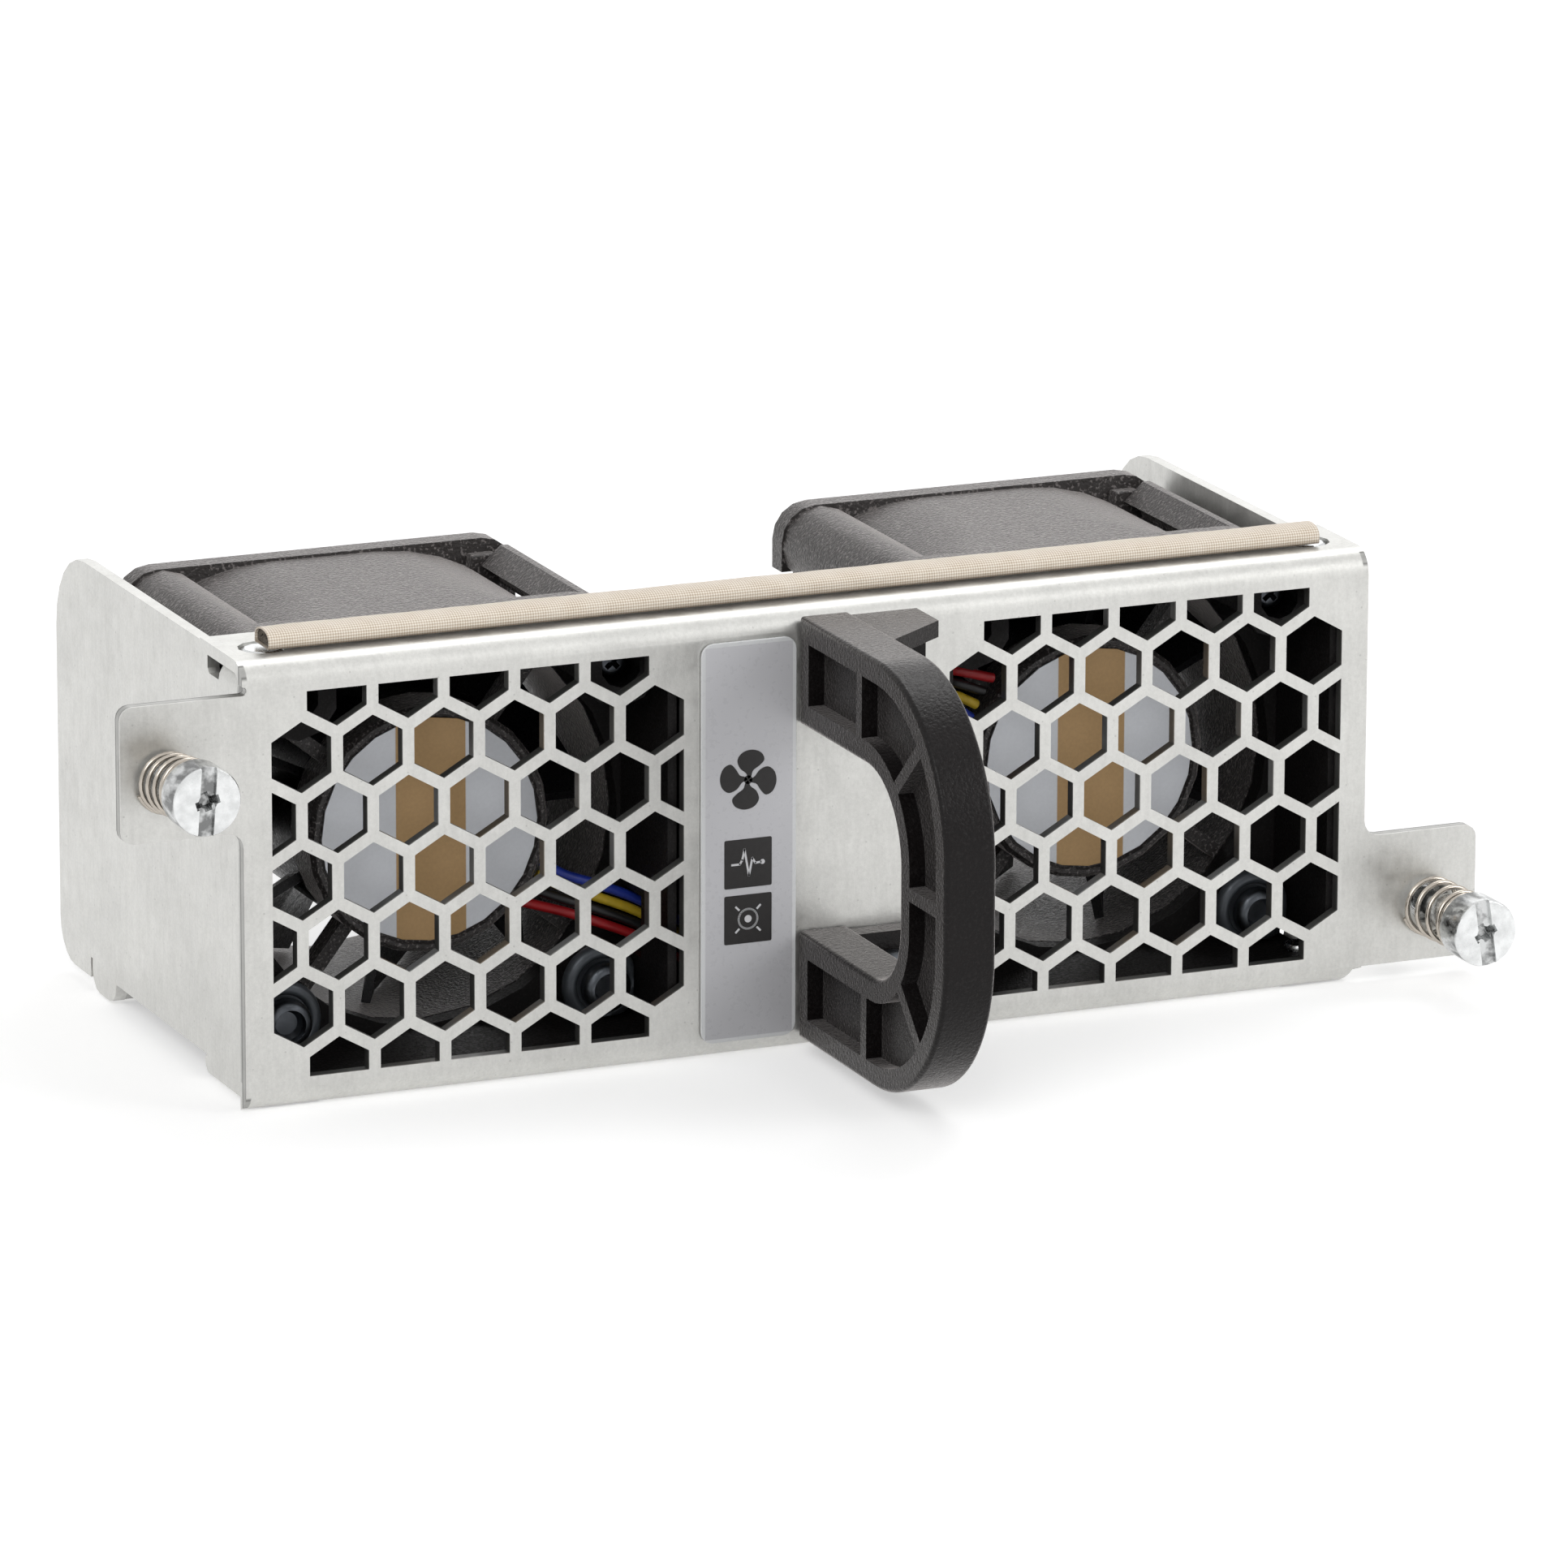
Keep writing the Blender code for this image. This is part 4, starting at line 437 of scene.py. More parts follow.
def round_edges(obj, edge, angle=35):
    """Weld and flatten a mesh, round the edges that are sharper than an angle, and even out its shading."""
    weld = obj.modifiers.new("weld", "WELD")
    weld.merge_threshold = 0.002 * MM
    flat = obj.modifiers.new("flat", "DECIMATE")
    flat.decimate_type = "DISSOLVE"
    flat.angle_limit = math.radians(0.5)
    add_bevel(obj, edge, angle)
    normals = obj.modifiers.new("normals", "WEIGHTED_NORMAL")
    normals.weight = 100
    normals.keep_sharp = True


def add_bevel(obj, edge, angle):
    bevel = obj.modifiers.new("edges", "BEVEL")
    bevel.width = edge * MM
    bevel.segments = 2
    bevel.limit_method = "ANGLE"
    bevel.angle_limit = math.radians(angle)
    return bevel


# New pieces: mesh helpers, all in millimetres from the centre of the front sheet's face


def mesh_object(name, build, smooth=40):
    """An object from a bmesh builder, welded, with outward normals."""
    shape = bmesh.new()
    build(shape)
    bmesh.ops.remove_doubles(shape, verts=shape.verts, dist=0.0005 * MM)
    bmesh.ops.recalc_face_normals(shape, faces=shape.faces)
    mesh = bpy.data.meshes.new(name)
    shape.to_mesh(mesh)
    shape.free()
    mesh.shade_smooth()
    mesh.set_sharp_from_angle(angle=math.radians(smooth))
    obj = bpy.data.objects.new(name, mesh)
    scene.collection.objects.link(obj)
    return obj


def install(obj, material, body="tray", replaced=(), edge=0, angle=40):
    """Give a new piece its finish and its body, and hide the nodes that it stands for."""
    obj.data.materials.clear()
    obj.data.materials.append(material)
    if edge:
        add_bevel(obj, edge, angle).harden_normals = True
    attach(obj, body)
    if replaced:
        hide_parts(*replaced)


def bake(obj):
    """Turn the modifiers into the mesh itself."""
    bpy.context.view_layer.update()
    graph = bpy.context.evaluated_depsgraph_get()
    mesh = bpy.data.meshes.new_from_object(obj.evaluated_get(graph))
    obj.modifiers.clear()
    obj.data = mesh


def combine(obj, tool, operation):
    """Cut a tool object out of an object, or join it on; the tool is used up."""
    modifier = obj.modifiers.new("combine", "BOOLEAN")
    modifier.operation = operation
    modifier.solver = "EXACT"
    modifier.object = tool
    bake(obj)
    bpy.data.objects.remove(tool, do_unlink=True)


def carve(obj, *builders, smooth=40):
    """Cut shapes out of an object, one after another."""
    for build in builders:
        combine(obj, mesh_object("cutter", build), "DIFFERENCE")
    obj.data.shade_smooth()
    obj.data.set_sharp_from_angle(angle=math.radians(smooth))


def rows_of_faces(shape, rows, ring=False):
    """Quads between rows of corners; each row closes on itself, and the last on the first if it's a ring."""
    pairs = list(zip(rows, rows[1:]))
    if ring:
        pairs.append((rows[-1], rows[0]))
    for row, after in pairs:
        for i in range(len(row)):
            j = (i + 1) % len(row)
            shape.faces.new((row[i], row[j], after[j], after[i]))


def lathe(profile, centre, segments, ring=False, keep=None):
    """A profile of (radius, y) points turned about a Y axis; keep may hold a corner inside limits."""
    def build(shape):
        rows = []
        for r, y in profile:
            row = []
            for i in range(segments):
                a = 2 * math.pi * i / segments
                x, z = centre[0] + r * math.cos(a), centre[1] + r * math.sin(a)
                if keep:
                    x, z = keep(x, z)
                row.append(shape.verts.new(at(x, y, z)))
            rows.append(row)
        rows_of_faces(shape, rows, ring)
    return build


def tunnel(shape, rows):
    """Rows of corners joined by a wall and closed at both ends."""
    rows_of_faces(shape, rows)
    shape.faces.new(rows[0])
    shape.faces.new(rows[-1])


def solid(shape, near, far):
    """Two matching outlines of places, joined by a wall and closed."""
    tunnel(shape, [[shape.verts.new(place) for place in near], [shape.verts.new(place) for place in far]])


def plate(outlines, y0, y1):
    """Outlines of (x, z) points made solid between two depths."""
    def build(shape):
        for outline in outlines:
            solid(shape, [at(x, y0, z) for x, z in outline], [at(x, y1, z) for x, z in outline])
    return build


def side_plate(outline, x0, x1):
    """An outline of (y, z) points made solid between two places across the tray."""
    return lambda shape: solid(shape, [at(x0, y, z) for y, z in outline], [at(x1, y, z) for y, z in outline])


def floor_plate(outline, z0, z1):
    """An outline of (x, y) points made solid between two heights."""
    return lambda shape: solid(shape, [at(x, y, z0) for x, y in outline], [at(x, y, z1) for x, y in outline])


def arc(centre, r, start, end, steps):
    """Points on a circle between two angles in degrees."""
    points = []
    for k in range(steps + 1):
        a = math.radians(start + (end - start) * k / steps)
        points.append((centre[0] + r * math.cos(a), centre[1] + r * math.sin(a)))
    return points


def turned(points, centre, angle):
    """Points turned about the origin by an angle in radians and moved to a centre."""
    c, s = math.cos(angle), math.sin(angle)
    return [(centre[0] + u * c - v * s, centre[1] + u * s + v * c) for u, v in points]


def blade(centre, turn, y_face, depth, front, bottom):
    """One tapered wing of a screw recess: front and bottom give its half length and half width."""
    def build(shape):
        corners = []
        for y, (half_l, half_w) in ((y_face - 0.4, front), (y_face + depth, bottom)):
            ends = ((-half_w, -half_l), (half_w, -half_l), (half_w, half_l), (-half_w, half_l))
            corners += [shape.verts.new(at(x, y, z)) for x, z in turned(ends, centre, turn)]
        for face in ((0, 1, 2, 3), (4, 5, 6, 7), (0, 1, 5, 4), (1, 2, 6, 5), (2, 3, 7, 6), (3, 0, 4, 7)):
            shape.faces.new([corners[i] for i in face])
    return build


def cross_recess(centre, turn, y_face, depth, reach, width):
    """The two crossed wings of a cross recess."""
    return [blade(centre, turn + quarter, y_face, depth, (reach, width), (reach * 0.35, width * 0.6))
            for quarter in (0, math.pi / 2)]


def thread(centre, y0, y1, r, depth, pitch, segments=32, steps=8):
    """A screw thread about a Y axis, closed at both ends, with a chamfered tip at y1."""
    def build(shape):
        count = int((y1 - y0) / pitch * steps)
        rows = []
        for k in range(count + 1):
            y = y0 + (y1 - y0) * k / count
            row = []
            for i in range(segments):
                a = 2 * math.pi * i / segments
                phase = ((y - y0) / pitch - i / segments) % 1
                ridge = 1 - abs(2 * phase - 1)
                fade = min(1, (y1 - y) / 0.7, (y - y0) / 0.3 + 0.2)
                radius = r - depth + depth * min(1, 1.35 * ridge) * fade - max(0, 0.45 - (y1 - y)) * 0.6
                x, z = centre[0] + radius * math.cos(a), centre[1] + radius * math.sin(a)
                row.append(shape.verts.new(at(x, y, z)))
            rows.append(row)
        tunnel(shape, rows)
    return build


def smooth_path(knots, count):
    """Points on a smooth curve through the knots (Catmull-Rom)."""
    knots = [Vector(k) for k in knots]
    ends = [2 * knots[0] - knots[1], *knots, 2 * knots[-1] - knots[-2]]
    path = []
    for k in range(count):
        value = (len(knots) - 1) * k / (count - 1)
        index = min(int(value), len(knots) - 2)
        t = value - index
        a, b, c, d = ends[index:index + 4]
        path.append(0.5 * (2 * b + (c - a) * t + (2 * a - 5 * b + 4 * c - d) * t ** 2
                           + (3 * b - a - 3 * c + d) * t ** 3))
    return path


def tube(path, r, side, sides=14):
    """A round wire along a path; side gives a direction across the wire at each point."""
    def build(shape):
        rows = []
        for i, point in enumerate(path):
            ahead = (path[min(i + 1, len(path) - 1)] - path[max(i - 1, 0)]).normalized()
            across = side(point)
            across = (across - ahead * across.dot(ahead)).normalized()
            other = ahead.cross(across)
            row = []
            for k in range(sides):
                a = 2 * math.pi * k / sides
                row.append(shape.verts.new(at(*(point + r * (math.cos(a) * across + math.sin(a) * other)))))
            rows.append(row)
        tunnel(shape, rows)
    return build


# Captive screws and their springs

# Each screw's side, axis in X and Z, front face, slot angle in degrees and its spring's sag
CAPTIVES = (("left", (-64.2, 11.7), -10.0, -4, (-0.55, -0.45)),
            ("right", (64.2, -14.1), -12.0, 8, (-0.3, -0.15)))
HEAD_R = 3.25
HEAD_LENGTH = 3.5
WIRE_R = 0.25
SPRING_TURNS = 5
STEPS_PER_TURN = 28


def captive_hardware(word, centre, face, turn, sag, zinc, spring):
    """The screw with its slot, cross recess and thread, and the spring that the screw squeezes."""
    back = face + HEAD_LENGTH
    neck = back + 5.0
    start = 14.1 + face
    profile = [(0, face), (HEAD_R - 0.28, face), (HEAD_R - 0.1, face + 0.06), (HEAD_R, face + 0.25),
               (HEAD_R, back - 0.15), (HEAD_R - 0.15, back), (1.9, back), (1.8, back + 0.1), (1.8, neck),
               (1.2, neck + 0.5), (1.2, start + 0.5), (0, start + 0.5)]
    screw = mesh_object(f"captive_screw_{word}_body", lathe(profile, centre, 72))
    slot = turned([(-0.75, -4), (0.75, -4), (0.75, 4), (-0.75, 4)], centre, turn)
    lobes = cross_recess(centre, turn + 0.35, face, 1.15, 1.4, 0.45)
    lobes += cross_recess(centre, turn + 0.35 + math.pi / 4, face, 0.95, 1.1, 0.32)
    carve(screw, plate([slot], face - 0.5, face + 0.42), *lobes, smooth=30)
    install(screw, zinc, f"captive_bolt_{word}", (f"captive_screw_{word}",), 0.06, 50)
    tip = mesh_object(f"captive_thread_{word}", thread(centre, start + 0.5, start + 5.3, 1.45, 0.28, 0.7))
    install(tip, zinc, f"captive_bolt_{word}")

    mean = HEAD_R - 0.5
    near, far = -0.3 - WIRE_R, back + 0.3 + WIRE_R
    closed = 2.3 * WIRE_R
    free = abs(far - near) - 2 * closed
    path = []
    for i in range(SPRING_TURNS * STEPS_PER_TURN + 1):
        lap = i / STEPS_PER_TURN
        if lap < 1:
            travel = closed * lap
        elif lap > SPRING_TURNS - 1:
            travel = closed + free + closed * (lap - SPRING_TURNS + 1)
        else:
            travel = closed + free * (lap - 1) / (SPRING_TURNS - 2)
        a = 2 * math.pi * lap + math.radians(200)
        loose = max(0, 1 - lap / (SPRING_TURNS - 1.2))
        path.append(Vector((centre[0] + mean * math.cos(a) + sag[0] * loose, near - travel,
                            centre[1] + mean * math.sin(a) + sag[1] * loose)))
    axis = Vector((centre[0], 0, centre[1]))
    wire = mesh_object(f"captive_spring_{word}_wire",
                       tube(path, WIRE_R, lambda point: Vector((point.x - axis.x, 0, point.z - axis.z))))
    wire.data.materials.append(spring)
    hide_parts(f"captive_spring_{word}")
    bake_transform(wire)


# Screws of the fans and the handle


def pan_screw(node, centre, seat, length, r, material, recess, height=1.75):
    """A pan head screw with a rounded head and a recess cut in it."""
    front = seat - height
    profile = [(0, front), (r * 0.55, front + 0.03), (r * 0.8, front + 0.16), (r * 0.94, front + 0.45),
               (r, front + 0.9), (r, seat - 0.2), (r - 0.08, seat - 0.1), (1.3, seat - 0.1),
               (1.3, seat + length - 0.5), (0.9, seat + length), (0, seat + length)]
    screw = mesh_object(f"{node}_head", lathe(profile, centre, 48))
    carve(screw, *recess(front), smooth=35)
    install(screw, material, "tray", (node,), 0.04, 50)


FAN_X = 33.9
FAN_Z = 0.3
FAN_HOLE = 16.0
FAN_FRONT = 15.4
WASHER_FRONT = 9.05
UPPER_SEAT = 8.4
# The collar's section: radius and depth behind the washer's front
COLLAR = ((2.55, 0.35), (2.75, 0.02), (3.1, -0.05), (3.5, 0.08), (3.75, 0.35), (3.85, 0.7), (3.85, 1.0),
          (1.65, 1.0), (1.65, 0.35))
COLLAR_INNER = 14.75
COLLAR_OUTER = 53.5
COLLAR_LOW = -18.75


def fan_screws(dark, collar):
    """Cross recessed screws above, and screws with a round socket and a collar below."""
    rim = [(r, WASHER_FRONT + depth) for r, depth in COLLAR]
    for word, s in (("left", -1), ("right", 1)):

        def inside(x, z, s=s):
            """Keep the collar clear of the duct's floor and its inner and outer walls."""
            return s * min(max(s * x, COLLAR_INNER), COLLAR_OUTER), max(z, COLLAR_LOW)

        for number, side in ((1, -1), (2, 1)):
            high = (s * FAN_X + side * FAN_HOLE, FAN_Z + FAN_HOLE)
            low = (s * FAN_X + side * FAN_HOLE, FAN_Z - FAN_HOLE)
            pan_screw(f"fan_screw_{word}_{number}", high, UPPER_SEAT, 14.0, 1.7, dark,
                      lambda front: cross_recess(high, 0.3 + number, front, 1.1, 1.05, 0.28))
            pan_screw(f"fan_screw_{word}_{number + 2}", low, WASHER_FRONT, 12.2, 2.4, dark,
                      lambda front: [lathe([(0, front - 0.4), (1.55, front - 0.4), (1.5, front + 0.9),
                                            (1.1, front + 1.35), (0, front + 1.35)], low, 32)])
            turned_rim = lathe(rim, low, 56, ring=True, keep=inside)
            ring = mesh_object(f"fan_washer_{word}_{number}_collar", turned_rim, 50)
            install(ring, collar, "tray", (f"fan_washer_{word}_{number}",))


def fan_pockets(plastic):
    """The floors of the pockets between the fans' corner webs and their rear flanges."""
    corner = ((14.3, 14.3), (18.7, 14.9), (18.7, 17.4), (17.4, 18.7), (14.9, 18.7))
    for word, s in (("left", -1), ("right", 1)):
        outlines = [[(s * FAN_X + side * x, FAN_Z + side * z) for x, z in corner] for side in (-1, 1)]
        floor = mesh_object(f"fan_pocket_{word}", plate(outlines, FAN_FRONT + 24.05, FAN_FRONT + 25.55))
        install(floor, plastic, edge=0.2)


def side_feet(steel):
    """The flat lower ends of the side panels' front feet, over their bent tabs."""
    rear, low, high, r = 13.4, -20.85, -19.3, 1.1
    outline = [(1.75, high), (1.75, low + 0.25), (2.0, low)]
    outline += arc((rear - r, low + r), r, 270, 360, 6) + [(rear, high)]
    for word, s in (("left", -1), ("right", 1)):
        foot = mesh_object(f"side_foot_{word}", side_plate(outline, s * 56.22, s * 55.2))
        install(foot, steel, edge=0.1)


HANDLE_SIDES = (-2.0, 3.1)
HANDLE_BACK = -0.3
LUG_WIDTH = 6.8
LUG_PLATE = 2.2
LUG_ROOF = 1.6
LUG_REACH = 5.4
LUG_ROOT = 10.5
# Each lug's lower and upper end, and the lower and upper side of its roof
LUGS = ((10.7, 20.4, 20.4 - LUG_ROOF, 20.4), (-19.7, -10.0, -19.7, -19.7 + LUG_ROOF))
HANDLE_SCREWS = (("upper", 15.15), ("lower", -14.45))
HANDLE_WALL = 2.2
POCKET_DEPTH = 1.6
RIM_R = 0.45
RIB_HALF = 0.65
# Each rib's middle in Y and Z, and its lean in degrees
RIBS = ((-14.2, 15.5, 90), (-25.0, 11.9, 137), (-29.0, 0.5, 0), (-25.7, -11.0, 45), (-15.6, -15.0, 90))


def handle_outline(wall):
    """The handle's side outline in Y and Z, drawn in by a wall's thickness."""
    back, reach, grip = HANDLE_BACK - wall, wall - 34.0, -23.7 - wall
    top, bottom, top_in, bottom_in = 20.7 - wall, wall - 20.0, 10.4 + wall, -9.7 - wall
    r, r_top, r_bottom = 16.0 - wall, 8.0 + wall, 6.5 + wall
    outer = arc((reach + r, top - r), r, 90, 180, 24) + arc((reach + r, bottom + r), r, 180, 270, 24)
    inner = arc((grip + r_bottom, bottom_in + r_bottom), r_bottom, 270, 180, 14)
    inner += arc((grip + r_top, top_in - r_top), r_top, 180, 90, 14)
    return [(back, top)] + outer + [(back, bottom), (back, bottom_in)] + inner + [(back, top_in)]


def rounded_prism(outline_at, x0, x1, r, steps=4):
    """A prism along X with rounded rims; its outline is a function of how far it's drawn in."""
    def build(shape):
        turns = [math.radians(90 * k / steps) for k in range(steps + 1)]
        places = [(x0 + r * (1 - math.sin(t)), r * (1 - math.cos(t))) for t in reversed(turns)]
        places += [(x1 - r * (1 - math.sin(t)), r * (1 - math.cos(t))) for t in turns]
        rows = [[shape.verts.new(at(x, y, z)) for y, z in outline_at(inset)] for x, inset in places]
        tunnel(shape, rows)
    return build


def handle_grip(plastic):
    """The handle with smooth bends, hollow ribbed sides and two screw lugs."""
    left, right = HANDLE_SIDES
    grip = mesh_object("handle_grip", rounded_prism(handle_outline, left, right, RIM_R))
    bar = ((-6, -RIB_HALF), (6, -RIB_HALF), (6, RIB_HALF), (-6, RIB_HALF))
    for x0, x1 in ((left - 1, left + POCKET_DEPTH), (right - POCKET_DEPTH, right + 1)):
        pocket = mesh_object("pocket", side_plate(handle_outline(HANDLE_WALL), x0, x1))
        for y, z, angle in RIBS:
            rib = turned(bar, (y, z), math.radians(angle))
            combine(pocket, mesh_object("rib", side_plate(rib, x0 - 1, x1 + 1)), "DIFFERENCE")
        combine(grip, pocket, "DIFFERENCE")
    inner, outer, front = right - 0.9, right + LUG_WIDTH, HANDLE_BACK - LUG_PLATE
    roof = [(inner, HANDLE_BACK), (outer, HANDLE_BACK), (outer, -LUG_REACH), (right, -LUG_ROOT),
            (inner, -LUG_ROOT)]
    base = [(inner, front), (outer, front), (outer, HANDLE_BACK), (inner, HANDLE_BACK)]
    for z0, z1, roof_low, roof_high in LUGS:
        lug = mesh_object("lug", floor_plate(base, z0, z1))
        combine(lug, mesh_object("roof", floor_plate(roof, roof_low, roof_high)), "UNION")
        combine(grip, lug, "UNION")
    bore = [(0, -4), (1.8, -4), (1.8, 1), (0, 1)]
    bores = [lathe(bore, (right + LUG_WIDTH / 2, z), 32) for _, z in HANDLE_SCREWS]
    carve(grip, *bores, smooth=35)
    install(grip, plastic, "tray", ("handle",))
    round_edges(grip, 0.12, 50)


def handle_screws(dark):
    for word, z in HANDLE_SCREWS:
        centre = (6.5, z)
        pan_screw(f"handle_screw_{word}", centre, -2.5, 7.1, 2.75, dark,
                  lambda front: cross_recess(centre, 0.5, front, 1.5, 1.7, 0.4), height=2.2)


# Leads from each fan's hub to its header on the board

LEAD_R = 0.48
LEAD_PITCH = 1.22


def leads(looks):
    for word, s, socket_z in (("left", -1, -12.6), ("right", 1, 9.4)):
        for lane, colour in enumerate(("red", "black", "yellow", "blue")):
            shift = (lane - 1.5) * LEAD_PITCH
            z0 = -6.6 + shift
            x0 = math.sqrt((12.0 + LEAD_R + 0.3) ** 2 - z0 ** 2)
            local = ((x0, 14.2, z0), (13.8, 13.6, -7.9 + shift), (16.6, 12.0, -8.8 + shift),
                     (20.3, 11.4, -10.4 + shift))
            knots = [(s * (FAN_X - x), y, FAN_Z - s * z) for x, y, z in local]
            knots += [(s * 9.1, 10.5, socket_z - s * shift), (s * 4.3, 10.2, socket_z - s * shift)]
            path = smooth_path(knots, 41)
            insulation = tube(path, LEAD_R, lambda point: Vector((0, 0.3, 1)))
            wire = mesh_object(f"lead_{word}_{colour}_wire", insulation, 60)
            install(wire, looks[colour], "tray", (f"lead_{word}_{colour}",))


# The seal on the top flange: woven conductive cloth round a foam core

SEAL_FRONT = 3.15
SEAL_REAR = 6.85
SEAL_BASE = 21.7
SEAL_TOP = 23.45
SEAL_HEIGHT = 1.75
SEAL_HALF = 53.3
CLOTH = 0.16


def seal_section(inset):
    """The seal's D section in Y and Z, drawn in by an inset."""
    middle, half = (SEAL_FRONT + SEAL_REAR) / 2, (SEAL_REAR - SEAL_FRONT) / 2 - inset
    base, shoulder = SEAL_BASE + inset, SEAL_BASE + 0.62
    rise = SEAL_TOP - inset - shoulder
    points = [(middle - half + 0.12, base), (middle + half - 0.12, base), (middle + half, base + 0.14)]
    for k in range(21):
        a = math.pi * k / 20
        flat = abs(math.sin(a)) ** 0.8
        points.append((middle + half * math.cos(a), shoulder + rise * flat))
    points.append((middle - half, base + 0.14))
    return points


def wave(x, seed):
    """A slow, even unevenness along the seal."""
    slow = math.sin(x * 0.31 + seed) * 0.5
    middle = math.sin(x * 0.83 + 2.1 * seed) * 0.3
    return slow + middle + math.sin(x * 1.9 + seed) * 0.2


def seal(cloth, foam):
    outer, inner = seal_section(0), seal_section(CLOTH)
    steps = 160

    def wrap(shape):
        rows = []
        for section in (outer, inner):
            side = []
            for k in range(steps + 1):
                x = -SEAL_HALF + 2 * SEAL_HALF * k / steps
                drop = 0.035 * (1 + wave(x, 1.0))
                lean = 0.03 * wave(x, 2.4)
                row = []
                for y, z in section:
                    rise = z - SEAL_BASE
                    row.append(shape.verts.new(at(x, y + lean * rise, z - drop * rise / SEAL_HEIGHT)))
                side.append(row)
            rows.append(side)
        outside, inside = rows
        rows_of_faces(shape, outside)
        rows_of_faces(shape, inside)
        for end in (0, -1):
            rows_of_faces(shape, [outside[end], inside[end]])
    skin = mesh_object("emi_gasket_cloth", wrap, 50)
    install(skin, cloth, "tray", ("emi_gasket",))

    def core(shape):
        ends = []
        for x, out in ((-SEAL_HALF + 0.25, -1), (SEAL_HALF - 0.25, 1)):
            rings = []
            for scale in (1, 0.8, 0.55, 0.28):
                middle_y, middle_z = (SEAL_FRONT + SEAL_REAR) / 2, SEAL_BASE + 0.8
                ring = []
                for n, (y, z) in enumerate(seal_section(CLOTH + 0.02)):
                    rough = 0.12 * math.sin(n * 2.3 + scale * 17) * (1 if scale < 1 else 0.3)
                    place = (x + out * (0.14 * (1 - scale) + rough), middle_y + (y - middle_y) * scale,
                             middle_z + (z - middle_z) * scale)
                    ring.append(shape.verts.new(at(*place)))
                rings.append(ring)
            rows_of_faces(shape, rings)
            shape.faces.new(rings[-1])
            ends.append(rings[0])
        rows_of_faces(shape, ends)
    fill = mesh_object("emi_gasket_foam", core, 25)
    install(fill, foam)


# Printing on the label strip: a fan sign, a pulse sign and a round locator sign

INK_BACK = -0.452
INK_FRONT = -0.485
SIGN_X = -7.2
FAN_SIGN_Z = 5.6
PULSE_Z = -2.45
LOCATOR_Z = -7.85
PETAL = ((0.0, 0.1), (-0.22, 0.62), (-0.85, 1.2), (-1.08, 2.0), (-0.55, 2.66), (0.4, 2.85), (1.3, 2.5),
         (1.62, 1.8), (1.15, 1.28), (0.5, 0.85), (0.28, 0.3))
PULSE = ((-1.65, -0.05), (-0.85, -0.05), (-0.6, 0.35), (-0.38, 1.35), (0.08, -1.2), (0.42, 0.45),
         (0.72, -0.05), (1.3, 0.0))


def smooth_loop(points, steps=6):
    """A closed smooth outline through the points."""
    loop = []
    count = len(points)
    for i in range(count):
        a, b, c, d = (Vector(points[(i + k) % count]) for k in (-1, 0, 1, 2))
        for step in range(steps):
            t = step / steps
            loop.append(tuple(0.5 * (2 * b + (c - a) * t + (2 * a - 5 * b + 4 * c - d) * t ** 2
                                     + (3 * b - a - 3 * c + d) * t ** 3)))
    return loop


def stroke(points, width):
    """Outlines of a line's straight runs, each drawn as a bar with overlapping ends."""
    bars = []
    for (x0, z0), (x1, z1) in zip(points, points[1:]):
        run = Vector((x1 - x0, z1 - z0)).normalized() * width / 2
        a, b = Vector((x0, z0)) - run * 0.6, Vector((x1, z1)) + run * 0.6
        off = Vector((-run.y, run.x))
        bars.append([tuple(a - off), tuple(b - off), tuple(b + off), tuple(a + off)])
    return bars


def disc(centre, r, count=28):
    return arc(centre, r, 0, 360, count)[:-1]


def rounded(x0, x1, z0, z1, r):
    corners = ((x1 - r, z1 - r, 0), (x0 + r, z1 - r, 90), (x0 + r, z0 + r, 180), (x1 - r, z0 + r, 270))
    return [(x + r * math.cos(math.radians(a + s)), z + r * math.sin(math.radians(a + s)))
            for x, z, a in corners for s in (0, 30, 60, 90)]


def signs(ink, white):
    """A four-bladed fan, and a pulse and a locator in pale lines on dark squares."""
    petal = smooth_loop(PETAL)
    centre = (SIGN_X, FAN_SIGN_Z)
    outlines = [disc(centre, 0.42)] + [turned(petal, centre, quarter * math.pi / 2) for quarter in range(4)]
    fan = mesh_object("sign_fan", plate(outlines, INK_BACK, INK_FRONT))
    install(fan, ink)
    outlines = [rounded(-9.6, -4.8, low, high, 0.15) for low, high in ((-4.8, -0.1), (-10.2, -5.5))]
    squares = mesh_object("sign_squares", plate(outlines, INK_BACK, INK_FRONT))
    install(squares, ink)
    lines = stroke([(SIGN_X + x, PULSE_Z + z) for x, z in PULSE], 0.2)
    lines.append(disc((SIGN_X + 1.45, PULSE_Z), 0.24, 16))
    lines += stroke(arc((SIGN_X, LOCATOR_Z), 0.95, 0, 360, 28), 0.19)
    lines.append(disc((SIGN_X, LOCATOR_Z), 0.36, 18))
    for k in range(4):
        a = math.pi / 4 + k * math.pi / 2
        lines += stroke([(SIGN_X + r * math.cos(a), LOCATOR_Z + r * math.sin(a)) for r in (1.3, 1.75)], 0.19)
    drawn = mesh_object("sign_lines", plate(lines, INK_FRONT - 0.003, INK_FRONT - 0.03))
    install(drawn, white)


